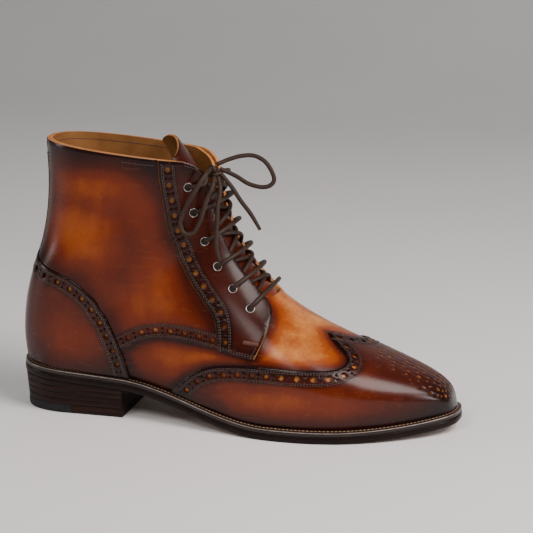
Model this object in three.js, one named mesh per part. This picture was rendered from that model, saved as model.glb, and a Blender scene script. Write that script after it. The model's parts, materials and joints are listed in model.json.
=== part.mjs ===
// A brogue boot for the right foot, in millimetres: toe along +X, outer side to -Y, up +Z.
// The upper is worked out from sections that fan from the toe, over the instep, to the collar.
import * as THREE from 'three';

// Sole
const LENGTH = 308;
const BALL_WIDTH = 104;
const HEEL_LENGTH = 80;
const HEEL_BACK = 25;
const HEEL_BREAST = 20;
const TOP_PIECE = 6;
const RUBBER_LENGTH = 43;
const LIFTS = 4;
const HEEL_INSET = 0.6;
const HEEL_TAPER = 1.6;
const TOP_PIECE_BEVEL = 0.3;
const HEEL_STEPS = 16;
const TREAD_START = 185;
const TREAD_END = 222;
const TOE_SPRING = 6.5;
const OUTSOLE = 5;
const OUTSOLE_BEVEL = 0.8;
const WELT = 3;
const WELT_RISE = 1.5;
const WELT_REACH = 6.4;
const WELT_SHELF = 7;
const INSOLE = 2.6;
const INSOLE_CLEAR = 2.2;

// Upper
const COLLAR_HEIGHT = 190;
const WALL = 2.4;
const LEATHER = 1.2;
const FACING_LEATHER = 2;
const COUNTER_LEATHER = 1.8;
const STRIP_WIDTH = 18;
const TONGUE = 1.8;
const TONGUE_LEAN = 28;
const TONGUE_HALF = 35;
const TONGUE_TOP_OUT = 27;
const TONGUE_TOP_IN = 38;
const TONGUE_CORNER = 12;
const TONGUE_PEAK = 12;
const TONGUE_SLOPE = 0.45;
const FIT = 0.3;
const SEAM = 0.5;

// Lacing
const EYELET_OUTER = 6.8;
const EYELET_HOLE = 4.6;
const EYELET_HEIGHT = 0.7;
const EYELET_BEVEL = 0.8;
const EYELET_SEGMENTS = 10;
const LACE = 3;

// The last, a row for each section from the toe round the heel to the collar.
// top and low: where a section meets the ridge, and the sole's edge or the back, in % of LENGTH.
// topZ: height of the ridge in % of COLLAR_HEIGHT. rise: height up the back in % of the shaft.
// ridge, out, in, edgeOut, edgeIn: the ridge's offset, greatest half widths, half widths at the sole,
// in % of BALL_WIDTH. belly: where along the section it is widest. crown, tail: how full it is.
const COLUMNS = ['topX', 'topZ', 'lowX', 'rise', 'ridge', 'out', 'in', 'edgeOut', 'edgeIn',
  'belly', 'crown', 'tail'];
const LAST = [
  [98.3, 9.2, 98.5, 0, 6.0, 0, 0, 0, 0, 0.50, 2.3, 2.6],
  [98.0, 10.6, 98.2, 0, 6.0, 7.6, 7.4, 7.0, 6.8, 0.50, 2.3, 2.6],
  [97.4, 13.6, 97.5, 0, 5.9, 12.6, 12.0, 11.6, 11.2, 0.52, 2.3, 2.6],
  [96.0, 16.2, 96.0, 0, 5.8, 17.6, 16.4, 16.4, 15.4, 0.55, 2.3, 2.6],
  [93.7, 18.6, 93.7, 0, 5.6, 23.2, 21.0, 21.8, 19.8, 0.58, 2.3, 2.6],
  [90.2, 21.2, 90.2, 0, 5.4, 30.2, 26.4, 28.6, 25.0, 0.60, 2.3, 2.6],
  [85.4, 24.2, 85.4, 0, 5.0, 38.0, 32.0, 36.2, 30.4, 0.62, 2.3, 2.6],
  [80.0, 27.6, 80.0, 0, 4.5, 44.6, 36.8, 42.6, 35.0, 0.63, 2.3, 2.6],
  [74.3, 31.4, 73.9, 0, 3.9, 49.4, 39.8, 47.4, 38.0, 0.64, 2.2, 2.6],
  [68.8, 35.5, 66.6, 0, 3.2, 51.2, 39.6, 49.4, 37.0, 0.62, 2.2, 2.6],
  [64.0, 40.2, 57.8, 0, 2.4, 49.0, 36.6, 47.2, 32.4, 0.58, 2.2, 2.6],
  [60.1, 44.9, 48.0, 0, 1.6, 43.2, 33.0, 41.0, 26.2, 0.54, 2.2, 2.8],
  [57.1, 49.6, 37.6, 0, 0.9, 37.6, 30.6, 34.4, 24.6, 0.50, 2.3, 3.0],
  [54.7, 54.5, 27.3, 0, 0.4, 34.0, 30.4, 29.6, 26.6, 0.47, 2.3, 3.0],
  [52.6, 59.0, 17.5, 0, 0, 32.3, 30.7, 28.4, 28.0, 0.45, 2.3, 3.0],
  [51.0, 63.2, 9.3, 0, 0, 31.6, 30.8, 27.2, 27.2, 0.44, 2.3, 3.0],
  [49.7, 67.4, 3.9, 0, 0, 31.2, 30.8, 17.8, 17.8, 0.44, 2.3, 3.0],
  [48.7, 71.3, 1.9, 0, 0, 31.2, 30.8, 0, 0, 0.44, 2.3, 3.0],
  [48.0, 75.1, 1.3, 12, 0, 31.2, 30.8, 0, 0, 0.44, 2.3, 3.0],
  [47.4, 78.5, 1.9, 26, 0, 31.0, 30.8, 0, 0, 0.45, 2.3, 2.9],
  [46.9, 81.9, 3.7, 41, 0, 30.8, 30.6, 0, 0, 0.46, 2.3, 2.8],
  [46.4, 85.3, 5.9, 54, 0, 30.6, 30.6, 0, 0, 0.47, 2.3, 2.6],
  [46.0, 88.3, 7.3, 68, 0, 30.8, 30.8, 0, 0, 0.48, 2.3, 2.5],
  [45.8, 91.0, 7.7, 84, 0, 31.2, 31.2, 0, 0, 0.49, 2.3, 2.4],
  [45.6, 93.6, 7.3, 100, 0, 31.6, 31.6, 0, 0, 0.50, 2.3, 2.4],
];
const HEEL_ROW = 17;
const COLLAR_ROW = LAST.length - 1;

// Seams, as [station, share]: the station is a row of the last, the share runs from 0 on the ridge
// to 1 at the sole's edge or the back, and is negative on the outer side.
const WING = [
  [12.0, -1.08], [11.92, -0.91], [11.87, -0.83], [11.68, -0.75], [11.3, -0.69], [10.85, -0.647],
  [10.14, -0.611], [9.36, -0.595], [8.46, -0.565], [8.04, -0.538], [7.76, -0.5], [7.62, -0.46],
  [7.57, -0.41], [7.62, -0.36], [7.8, -0.307], [8.1, -0.25], [8.35, -0.19], [8.6, -0.12],
  [8.3, -0.085], [7.95, -0.035], [7.65, 0.03], [7.47, 0.11], [7.42, 0.2], [7.5, 0.29], [7.7, 0.37],
  [8.04, 0.45], [8.5, 0.52], [9.36, 0.575], [10.14, 0.605], [10.85, 0.645], [11.3, 0.69],
  [11.68, 0.75], [11.87, 0.83], [11.92, 0.91], [12.0, 1.08],
];
// The rest holds on both sides, with the share's size.
const FRONT = [
  [24.6, 0.3], [24.0, 0.22], [23.75, 0.178], [23.4, 0.15], [22.88, 0.13], [22.1, 0.119],
  [20.27, 0.102], [17.29, 0.081], [15.16, 0.1], [13.9, 0.118], [12.98, 0.142], [11.89, 0.169],
  [11.26, 0.207], [10.91, 0.263], [10.7, 0.387], [10.64, 0.488], [10.64, 0.584],
];
const QUARTER_HEM = [
  [11.55, 0.604], [12.23, 0.622], [12.92, 0.641], [13.43, 0.662], [13.76, 0.709], [13.84, 0.783],
  [13.74, 0.836], [13.9, 0.95],
];
const FACING_BACK = [
  [11.75, 0.61], [12.1, 0.512], [12.24, 0.489], [12.47, 0.448], [12.8, 0.41], [13.25, 0.378],
  [13.94, 0.333], [14.7, 0.301], [15.75, 0.269], [17.22, 0.241], [18.57, 0.258], [19.7, 0.277],
  [20.82, 0.295], [21.96, 0.315], [22.96, 0.325], [23.8, 0.322], [24.6, 0.322],
];
const COUNTER_EDGE = [
  [20.75, 1.1], [20.5, 0.94], [20.21, 0.884], [19.75, 0.8], [19.29, 0.72], [18.74, 0.657],
  [17.94, 0.6], [17.24, 0.571], [16.55, 0.592], [15.88, 0.624], [15.07, 0.673], [14.49, 0.727],
  [13.91, 0.802], [13.4, 0.894], [13.03, 0.98], [12.6, 1.1],
];
const THROAT = [
  [24.6, 0.34], [24.0, 0.25], [23.65, 0.195], [23.3, 0.167], [22.8, 0.147], [22.1, 0.134],
  [20.27, 0.117], [17.29, 0.096], [15.16, 0.116], [13.9, 0.135], [12.98, 0.158], [12.2, 0.178],
  [11.7, 0.17], [11.4, 0.12], [11.3, 0],
];
const EYELETS = [[21.84, 0.203], [19.57, 0.173], [16.99, 0.145], [14.71, 0.181], [13.09, 0.239],
  [11.81, 0.301]];

const STATIONS = [0, 0.35, 0.9, 1.6, 2.5, 3.5, 4.5, 5.5, 6.5, 7.5, 8.5, 9.5, 10.3, 11.1, 11.9, 12.5, 13, 13.5,
  14, 15, 16, 17, 17.5, 18, 19, 20, 21, 22, 23, 24, 24.7, 25.4, 26, 26.5, 27, 28];
const SHARES = [0, 0.06, 0.11, 0.16, 0.22, 0.27, 0.33, 0.43, 0.54, 0.65, 0.76, 0.86, 0.94, 1];
const CURVE_STEPS = 48;

const LATERAL = -1;
const MEDIAL = 1;
const clamp = THREE.MathUtils.clamp;
const lerp = THREE.MathUtils.lerp;

// Height of the tread under the sole: heel, waist, flat tread, toe spring.
function tread(x) {
  const slope = (HEEL_BREAST - HEEL_BACK) / HEEL_LENGTH;
  if (x < HEEL_LENGTH) return HEEL_BACK + slope * x;
  const run = TREAD_START - HEEL_LENGTH;
  const t = clamp((x - HEEL_LENGTH) / run, 0, 1);
  const spring = Math.max(0, (x - TREAD_END) / (LENGTH - TREAD_END));
  if (x > TREAD_START) return TOE_SPRING * spring * spring;
  return HEEL_BREAST * (1 - t * t * (3 - 2 * t)) + run * slope * (t * t * t - 2 * t * t + t);
}
const seat = (x) => tread(x) + OUTSOLE + WELT + WELT_RISE;

// A table value beyond an end: mirrored at the toe and heel, straight on at the collar.
function entry(name, row, low, high) {
  const column = COLUMNS.indexOf(name);
  const mirror = (['topX', 'topZ', 'lowX'].includes(name) && low === 0) ? 1 : -1;
  if (row < low) {
    const inside = LAST[2 * low - row][column];
    return mirror > 0 ? inside : 2 * LAST[low][column] - inside;
  }
  if (row > high) {
    const inside = LAST[2 * high - row][column];
    return name === 'lowX' && high === HEEL_ROW ? inside : 2 * LAST[high][column] - inside;
  }
  return LAST[row][column];
}

// A smoothed column, as a uniform cubic B-spline, straight on past the collar.
function smooth(name, station) {
  if (station > COLLAR_ROW) {
    const end = smooth(name, COLLAR_ROW);
    return end + 2 * (station - COLLAR_ROW) * (end - smooth(name, COLLAR_ROW - 0.5));
  }
  const row = Math.min(Math.floor(station), COLLAR_ROW - 1);
  const t = station - row;
  const [a, b, c, d] = [-1, 0, 1, 2].map((k) => entry(name, row + k, 0, COLLAR_ROW));
  return ((1 - t) ** 3 * a + (3 * t ** 3 - 6 * t * t + 4) * b
    + (-3 * t ** 3 + 3 * t * t + 3 * t + 1) * c + t ** 3 * d) / 6;
}

// A column that passes through its rows, apart below and above the heel's corner.
function follow(name, station) {
  const [low, high] = station <= HEEL_ROW ? [0, HEEL_ROW] : [HEEL_ROW, COLLAR_ROW];
  const place = clamp(station, low, high);
  const row = Math.min(Math.floor(place), high - 1);
  const t = place - row;
  const [a, b, c, d] = [-1, 0, 1, 2].map((k) => entry(name, row + k, low, high));
  return 0.5 * (2 * b + (c - a) * t + (2 * a - 5 * b + 4 * c - d) * t * t
    + (3 * b - 3 * c + d - a) * t ** 3);
}

function bareSection(station) {
  const width = BALL_WIDTH / 100;
  const lowX = follow('lowX', station) * LENGTH / 100;
  const rise = Math.max(0, follow('rise', station)) / 100 * (COLLAR_HEIGHT - seat(0));
  const closed = station >= HEEL_ROW ? 0 : width;
  return {
    topX: smooth('topX', station) * LENGTH / 100,
    topZ: smooth('topZ', station) * COLLAR_HEIGHT / 100,
    lowX,
    lowZ: seat(lowX) + rise,
    ridge: smooth('ridge', station) * width,
    out: smooth('out', station) * width,
    in: smooth('in', station) * width,
    edgeOut: Math.max(0, follow('edgeOut', station)) * closed,
    edgeIn: Math.max(0, follow('edgeIn', station)) * closed,
    belly: smooth('belly', station),
    crown: smooth('crown', station),
    tail: smooth('tail', station),
  };
}

function normal2(dx, dz) {
  const size = Math.hypot(dx, dz) || 1;
  return [dz / size, -dx / size];
}

function mix2(a, b, t) {
  const x = lerp(a[0], b[0], t);
  const z = lerp(a[1], b[1], t);
  const size = Math.hypot(x, z) || 1;
  return [x / size, z / size];
}

// A section grown by an offset: outward for overlays, inward for the lining and the tongue.
function section(station, offset) {
  const s = bareSection(station);
  if (offset === 0) return s;
  const step = 0.05;
  const opening = clamp(station / 0.5, 0, 1);
  const before = bareSection(Math.max(0, station - step));
  const after = bareSection(station + step);
  let out = normal2(after.topX - before.topX, after.topZ - before.topZ);
  out = mix2([1, 0], out, clamp(station / 0.6, 0, 1));
  s.topX += offset * out[0];
  s.topZ += offset * out[1];
  if (station >= HEEL_ROW) {
    const under = bareSection(Math.max(HEEL_ROW, station - step));
    const over = bareSection(Math.min(COLLAR_ROW, station + step));
    const [nx, nz] = normal2(over.lowX - under.lowX, over.lowZ - under.lowZ);
    const back = mix2([-1, 0], [-nx, -nz], clamp((station - HEEL_ROW) / 0.5, 0, 1));
    const level = clamp((COLLAR_ROW - station) / 0.5, 0, 1);
    s.lowX += offset * back[0];
    s.lowZ += offset * back[1] * level;
  } else {
    const over = bareSection(Math.min(HEEL_ROW - 0.001, station + step));
    const outer = normal2(over.lowX - before.lowX, over.edgeOut - before.edgeOut);
    const inner = normal2(over.lowX - before.lowX, over.edgeIn - before.edgeIn);
    let nx = lerp(1, (outer[0] + inner[0]) / 2, clamp(station / 0.6, 0, 1));
    nx = lerp(nx, -1, clamp((station - HEEL_ROW + 0.3) / 0.3, 0, 1));
    s.lowX += offset * nx;
    s.lowZ = seat(s.lowX);
    s.edgeOut = Math.max(0, s.edgeOut + offset * Math.abs(outer[1]) * opening);
    s.edgeIn = Math.max(0, s.edgeIn + offset * Math.abs(inner[1]) * opening);
  }
  s.out = Math.max(0, s.out + offset * opening);
  s.in = Math.max(0, s.in + offset * opening);
  return s;
}

// One side of a section from the ridge down to the sole or the back, by shares of its length.
const curves = new Map();
function sideCurve(station, side, offset) {
  const key = `${station},${side},${offset}`;
  if (curves.has(key)) return curves.get(key);
  const s = section(station, offset);
  const half = Math.max(side < 0 ? s.out : s.in, 1e-6);
  const edge = Math.min(half * 0.999, side < 0 ? s.edgeOut : s.edgeIn);
  const fullness = 1 - (edge / half) ** s.tail;
  const points = [];
  for (let k = 0; k <= CURVE_STEPS; k++) {
    const angle = Math.PI / 2 * k / CURVE_STEPS;
    const along = k === CURVE_STEPS ? s.belly : s.belly * (1 - Math.cos(angle) ** (2 / s.crown));
    points.push([along, half * Math.sin(angle) ** (2 / s.crown)]);
  }
  const end = Math.asin(Math.sqrt(fullness));
  for (let k = 1; k <= CURVE_STEPS; k++) {
    const drop = Math.sin(end * k / CURVE_STEPS) ** (2 / s.tail) / fullness ** (1 / s.tail);
    const narrow = Math.max(0, 1 - fullness * drop ** s.tail) ** (1 / s.tail);
    points.push([s.belly + (1 - s.belly) * drop, half * narrow]);
  }
  const line = points.map(([q, h]) => new THREE.Vector3(
    lerp(s.topX, s.lowX, q), s.ridge + side * h, lerp(s.topZ, s.lowZ, q)));
  const lengths = [0];
  for (let k = 1; k < line.length; k++) lengths.push(lengths[k - 1] + line[k].distanceTo(line[k - 1]));
  const curve = { line, lengths, girth: lengths.at(-1) };
  curves.set(key, curve);
  return curve;
}

function surface(station, share, offset) {
  const { line, lengths, girth } = sideCurve(station, share < 0 ? LATERAL : MEDIAL, offset);
  const goal = Math.min(Math.abs(share), 1) * girth;
  let k = 1;
  while (k < lengths.length - 1 && lengths[k] < goal) k++;
  const t = clamp((goal - lengths[k - 1]) / (lengths[k] - lengths[k - 1] || 1), 0, 1);
  return line[k - 1].clone().lerp(line[k], t);
}

// Distances along the ridge and along the sole's edge and back, to unroll the upper in millimetres.
const RUN_STEP = 0.25;
const runs = { ridge: [0], low: [0] };
for (let k = 1; k * RUN_STEP <= STATIONS.at(-1); k++) {
  const from = (k - 1) * RUN_STEP;
  const to = k * RUN_STEP;
  runs.ridge.push(runs.ridge[k - 1] + surface(from, 0, 0).distanceTo(surface(to, 0, 0)));
  runs.low.push(runs.low[k - 1] + surface(from, -1, 0).distanceTo(surface(to, -1, 0)));
}

function run(list, station) {
  const place = clamp(station, 0, STATIONS.at(-1)) / RUN_STEP;
  const k = Math.min(Math.floor(place), list.length - 2);
  return lerp(list[k], list[k + 1], place - k) + Math.min(0, station) * WALL;
}

function unroll(station, share) {
  const level = clamp(station, 0, STATIONS.at(-1));
  const { girth } = sideCurve(level, share < 0 ? LATERAL : MEDIAL, 0);
  const across = Math.min(1, Math.abs(share));
  return [lerp(run(runs.ridge, station), run(runs.low, station), across), share * girth];
}

function segmentDistance([px, py], [ax, ay], [bx, by]) {
  const dx = bx - ax;
  const dy = by - ay;
  const t = clamp(((px - ax) * dx + (py - ay) * dy) / (dx * dx + dy * dy || 1), 0, 1);
  return Math.hypot(px - ax - t * dx, py - ay - t * dy);
}

// A region of the unrolled upper: its measure is the distance to its edge, positive inside.
function region(outline) {
  const flat = outline.map(([station, share]) => unroll(station, share));
  return (station, share) => {
    let inside = false;
    let distance = Infinity;
    const spot = unroll(station, share);
    for (let k = 0; k < outline.length; k++) {
      const next = (k + 1) % outline.length;
      const [s0, v0] = outline[k];
      const [s1, v1] = outline[next];
      if ((s0 > station) !== (s1 > station)
        && share < v0 + (v1 - v0) * (station - s0) / (s1 - s0)) inside = !inside;
      distance = Math.min(distance, segmentDistance(spot, flat[k], flat[next]));
    }
    return inside ? distance : -distance;
  };
}
// A station and a share that are past the collar and past the sole's edge, to close a region.
const PAST_COLLAR = 29;
const PAST_EDGE = 1.4;
const onSide = (outline, side) => outline.map(([station, share]) => [station, side * share]);
const backDistance = (station, share) => (1 - Math.abs(share))
  * sideCurve(Math.min(station, STATIONS.at(-1)), share < 0 ? LATERAL : MEDIAL, 0).girth;

const inWing = region([...WING, [-1, PAST_EDGE], [-1, -PAST_EDGE]]);
const counterOn = (side) => region(onSide([...COUNTER_EDGE, [12.6, PAST_EDGE], [20.75, PAST_EDGE]], side));
const inCounter = { [LATERAL]: counterOn(LATERAL), [MEDIAL]: counterOn(MEDIAL) };
const throatSides = [...THROAT, ...onSide(THROAT.slice(0, -1), LATERAL).reverse()];
const inThroat = region([...throatSides, [PAST_COLLAR, -0.34], [PAST_COLLAR, 0.34]]);
const sideOf = (share) => (share < 0 ? LATERAL : MEDIAL);

function quarterRegions(side) {
  const whole = region(onSide([...FRONT, ...QUARTER_HEM, [13.9, PAST_EDGE], [PAST_COLLAR, PAST_EDGE],
    [PAST_COLLAR, 0.3]], side));
  const fore = region(onSide([...FRONT, ...FACING_BACK, [PAST_COLLAR, 0.322], [PAST_COLLAR, 0.3]], side));
  const strip = (station, share) => backDistance(station, share) - STRIP_WIDTH / 2 - SEAM;
  return {
    facing: (station, share) => Math.min(fore(station, share), whole(station, share)),
    quarter: (station, share) => Math.min(
      whole(station, share), -fore(station, share) - SEAM, strip(station, share),
      -inCounter[sideOf(share)](station, share) - SEAM),
  };
}

// A sheet of leather between two offsets of the last, kept where its region's measure is positive.
// It may lean back by a distance that depends on the station.
const level = () => 0;
function sheet(name, colour, inner, outer, inside, stations, lean = level) {
  const shares = [...SHARES.slice(1).reverse().map((share) => -share), ...SHARES];
  const wide = shares.length;
  const spots = stations.flatMap((station) => shares.map((share) => [station, share]));
  const joined = (index) => {
    const station = stations[Math.floor(index / wide)];
    const column = index % wide;
    if (station === 0 && column < SHARES.length - 1) return index - column + wide - 1 - column;
    return station >= HEEL_ROW && column === 0 ? index + wide - 1 : index;
  };
  const measure = spots.map(([station, share]) => {
    const value = inside(station, share);
    return Math.abs(value) < FIT ? 0 : value;
  });
  const at = (offset) => spots.map(([station, share]) => {
    const spot = surface(station, share, offset);
    spot.x -= lean(station);
    return spot;
  });
  const skins = [at(inner), at(outer)];
  const positions = [];
  const known = new Map();
  const cornerKey = (a, b) => (a < b ? `${a}_${b}` : `${b}_${a}`);
  function corner(a, b) {
    const key = cornerKey(a, b);
    if (known.has(key)) return known.get(key);
    const [low, high] = a < b ? [a, b] : [b, a];
    const t = a === b ? 0 : measure[low] / (measure[low] - measure[high]);
    for (const skin of skins) positions.push(skin[low].clone().lerp(skin[high], t));
    known.set(key, positions.length / 2 - 1);
    return positions.length / 2 - 1;
  }
  const faces = [];
  function clip(indices) {
    const ring = indices.map(joined);
    if (ring.every((index) => measure[index] <= 0)) return;
    const kept = [];
    ring.forEach((index, k) => {
      const next = ring[(k + 1) % ring.length];
      if (measure[index] >= 0) kept.push(corner(index, index));
      if (measure[index] * measure[next] < 0) kept.push(corner(index, next));
    });
    for (let k = 1; k + 1 < kept.length; k++) {
      const face = [kept[0], kept[k], kept[k + 1]];
      if (new Set(face).size === 3) faces.push(face);
    }
  }
  for (let row = 0; row + 1 < stations.length; row++) {
    for (let column = 0; column + 1 < wide; column++) {
      const a = row * wide + column;
      const [b, c, d] = [a + 1, a + wide + 1, a + wide];
      if (shares[column] < 0) {
        clip([a, b, c]);
        clip([a, c, d]);
      } else {
        clip([a, b, d]);
        clip([b, c, d]);
      }
    }
  }
  const triangles = [];
  const edges = new Set(faces.flatMap(([a, b, c]) => [`${a}_${b}`, `${b}_${c}`, `${c}_${a}`]));
  for (const [a, b, c] of faces) {
    triangles.push(2 * a + 1, 2 * b + 1, 2 * c + 1, 2 * a, 2 * c, 2 * b);
    for (const [p, q] of [[a, b], [b, c], [c, a]]) {
      if (edges.has(`${q}_${p}`)) continue;
      triangles.push(2 * q + 1, 2 * p + 1, 2 * p, 2 * q + 1, 2 * p, 2 * q);
    }
  }
  return solid(name, colour, positions, triangles);
}

function solid(name, colour, positions, triangles) {
  const geometry = new THREE.BufferGeometry();
  geometry.setAttribute('position', new THREE.Float32BufferAttribute(
    positions.flatMap((p) => [p.x, p.y, p.z]), 3));
  geometry.setIndex(triangles);
  return meshOf(name, colour, geometry);
}

function meshOf(name, [colour, roughness, metalness = 0], geometry) {
  geometry.computeVertexNormals();
  const material = new THREE.MeshStandardMaterial({ color: colour, roughness, metalness });
  const mesh = new THREE.Mesh(geometry, material);
  mesh.name = name;
  return mesh;
}

// The sole's outline, grown from the last's edge. The reach of the welt varies from heel to toe.
const REACH = [0.78, 0.66, 0.62, 0.66, 0.88, 1, 0.97, 0.84, 0.75];
function weltReach(x) {
  const place = clamp(x / LENGTH, 0, 1) * (REACH.length - 1);
  const k = Math.min(Math.floor(place), REACH.length - 2);
  const t = place - k;
  return WELT_REACH * lerp(REACH[k], REACH[k + 1], t * t * (3 - 2 * t));
}
const EDGE_STEPS = 90;
function edgeLine(side, grow) {
  const column = side < 0 ? 'edgeOut' : 'edgeIn';
  const place = (station) => {
    const s = bareSection(Math.min(station, HEEL_ROW - 1e-4));
    return [s.lowX, s.ridge + side * s[column]];
  };
  const line = [];
  for (let k = 0; k <= EDGE_STEPS; k++) {
    const station = HEEL_ROW * k / EDGE_STEPS;
    const [x, y] = place(station);
    const [x0, y0] = place(Math.max(0, station - 0.02));
    const [x1, y1] = place(Math.min(HEEL_ROW, station + 0.02));
    let [nx, ny] = normal2(x1 - x0, y1 - y0).map((part) => part * side);
    if (k === 0) [nx, ny] = [1, 0];
    if (k === EDGE_STEPS) [nx, ny] = [-1, 0];
    line.push([x + nx * grow(x), y + ny * grow(x)]);
  }
  return line.sort((a, b) => a[0] - b[0]);
}

function edgeAt(line, x) {
  let k = 1;
  while (k < line.length - 1 && line[k][0] < x) k++;
  const [[x0, y0], [x1, y1]] = [line[k - 1], line[k]];
  return lerp(y0, y1, clamp((x - x0) / (x1 - x0 || 1), 0, 1));
}

// Places along the sole, closer together at its round ends.
const SOLE_STEPS = 28;
const END = 0.16;
function soleShare(k, steps, cutFront, cutBack) {
  const t = k / steps;
  const round = (u) => (1 - Math.cos(Math.PI / 2 * u));
  if (!cutBack && t < 0.25) return END * round(t * 4);
  if (!cutFront && t > 0.75) return 1 - END * round((1 - t) * 4);
  const from = cutBack ? 0 : 0.25;
  const to = cutFront ? 1 : 0.75;
  return lerp(cutBack ? 0 : END, cutFront ? 1 : 1 - END, (t - from) / (to - from));
}

// A ring of points round the sole's outline at one height, from back to front and back again.
function soleRing({ grow, height, from = -Infinity, to = Infinity, steps = SOLE_STEPS }) {
  const lines = [edgeLine(LATERAL, grow), edgeLine(MEDIAL, grow)];
  const back = Math.max(lines[0][0][0], from);
  const front = Math.min(lines[0].at(-1)[0], to);
  const cuts = [front === to, back === from];
  const ring = [[], []];
  for (let k = 0; k <= steps; k++) {
    const x = lerp(back, front, soleShare(k, steps, ...cuts));
    lines.forEach((line, side) => ring[side].push(new THREE.Vector3(x, edgeAt(line, x), height(x))));
  }
  return ring;
}

// A solid through rings: closed by a floor and a roof, or joined round into a band.
function soleSolid(name, colour, layers, band = false) {
  const rings = layers.map(soleRing);
  const steps = rings[0][0].length - 1;
  const pointed = (ring, k) => ring[0][k].distanceTo(ring[1][k]) < 0.01;
  const positions = [];
  const index = rings.map((ring) => {
    const ids = [[], []];
    for (let k = 0; k <= steps; k++) {
      ids[0].push(positions.push(ring[0][k]) - 1);
      ids[1].push(pointed(ring, k) ? ids[0][k] : positions.push(ring[1][k]) - 1);
    }
    return [...ids[0], ...ids[1].reverse()];
  });
  const round = index[0].length;
  const triangles = [];
  const face = (a, b, c) => {
    if (a !== b && b !== c && c !== a) triangles.push(a, b, c);
  };
  const joins = band ? index.length : index.length - 1;
  for (let layer = 0; layer < joins; layer++) {
    const low = index[layer];
    const high = index[(layer + 1) % index.length];
    for (let k = 0; k < round; k++) {
      const next = (k + 1) % round;
      face(low[k], low[next], high[next]);
      face(low[k], high[next], high[k]);
    }
  }
  if (!band) {
    const cap = (ids, up) => {
      for (let k = 0; k < steps; k++) {
        const [a, b] = [ids[k], ids[k + 1]];
        const [c, d] = [ids[round - 2 - k], ids[round - 1 - k]];
        if (up) {
          face(a, b, c);
          face(a, c, d);
        } else {
          face(a, c, b);
          face(a, d, c);
        }
      }
    };
    cap(index[0], false);
    cap(index.at(-1), true);
  }
  return solid(name, colour, positions, triangles);
}

const BROWN = [0x8a4217, 0.35];
const DARK_BROWN = [0x4a1d0e, 0.35];
const MAHOGANY = [0x6b2a12, 0.32];
const SOLE_BROWN = [0x2c1a14, 0.5];
const HEEL_BROWN = [0x3a2018, 0.5];
const RUBBER = [0x26262a, 0.75];
const TAN = [0xb5783c, 0.7];
const NICKEL = [0xc8c4bc, 0.3, 0.9];
const LACE_BROWN = [0x3a251b, 0.6];

const flat = (height) => () => height;
const above = (lift) => (x) => tread(x) + lift;
const grown = (change) => (x) => weltReach(x) + change;
const shrunk = (inset) => () => -inset;

function outsole() {
  return soleSolid('outsole', SOLE_BROWN, [
    { grow: grown(-OUTSOLE_BEVEL), height: tread },
    { grow: grown(0), height: above(OUTSOLE / 3) },
    { grow: grown(0), height: above(OUTSOLE) },
  ]);
}

function welt() {
  const shelf = OUTSOLE + WELT + WELT_RISE - 2 * FIT;
  return soleSolid('welt', SOLE_BROWN, [
    { grow: shrunk(WELT_SHELF), height: above(OUTSOLE + FIT) },
    { grow: grown(-FIT), height: above(OUTSOLE + FIT) },
    { grow: grown(-FIT), height: above(OUTSOLE + WELT) },
    { grow: shrunk(0), height: above(shelf) },
    { grow: shrunk(WELT_SHELF), height: above(shelf) },
  ], true);
}

function insole() {
  const shelf = OUTSOLE + WELT + WELT_RISE - FIT;
  const rim = WALL + INSOLE_CLEAR;
  return soleSolid('insole', TAN, [
    { grow: shrunk(WELT_SHELF + FIT), height: above(OUTSOLE + FIT) },
    { grow: shrunk(WELT_SHELF + FIT), height: above(shelf) },
    { grow: shrunk(rim), height: above(shelf) },
    { grow: shrunk(rim), height: above(shelf + INSOLE) },
  ]);
}

// The heel narrows a little towards the floor, and its lifts share the height above the top piece.
function heel() {
  const pieces = [];
  const ceiling = (x) => tread(x) - FIT;
  const part = (low, high, from, to, steps) => {
    const taper = (share) => grown(-HEEL_INSET - HEEL_TAPER * (1 - share));
    return [
      { grow: taper(low), height: (x) => Math.max(0, lerp(TOP_PIECE, ceiling(x), low)), from, to, steps },
      { grow: taper(high), height: (x) => lerp(TOP_PIECE, ceiling(x), high) - FIT, from, to, steps },
    ];
  };
  for (let lift = 0; lift < LIFTS; lift++) {
    const layers = part(lift / LIFTS, (lift + 1) / LIFTS, -Infinity, HEEL_LENGTH, HEEL_STEPS);
    if (lift === LIFTS - 1) layers[1].height = ceiling;
    pieces.push(soleSolid(`heel_lift_${lift + 1}`, HEEL_BROWN, layers));
  }
  const top = (name, colour, from, to) => pieces.push(soleSolid(name, colour, [
    { grow: grown(-HEEL_INSET - HEEL_TAPER - TOP_PIECE_BEVEL), height: flat(0), from, to, steps: HEEL_STEPS },
    { grow: grown(-HEEL_INSET - HEEL_TAPER), height: flat(TOP_PIECE - FIT), from, to, steps: HEEL_STEPS },
  ]));
  top('heel_rubber', RUBBER, -Infinity, RUBBER_LENGTH - FIT);
  top('heel_leather', HEEL_BROWN, RUBBER_LENGTH, HEEL_LENGTH);
  return pieces;
}

const UPPER_STATIONS = STATIONS.filter((station) => station <= COLLAR_ROW);

function upper() {
  return sheet('upper', BROWN, -WALL, 0, (station, share) => -inThroat(station, share),
    UPPER_STATIONS);
}

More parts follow.
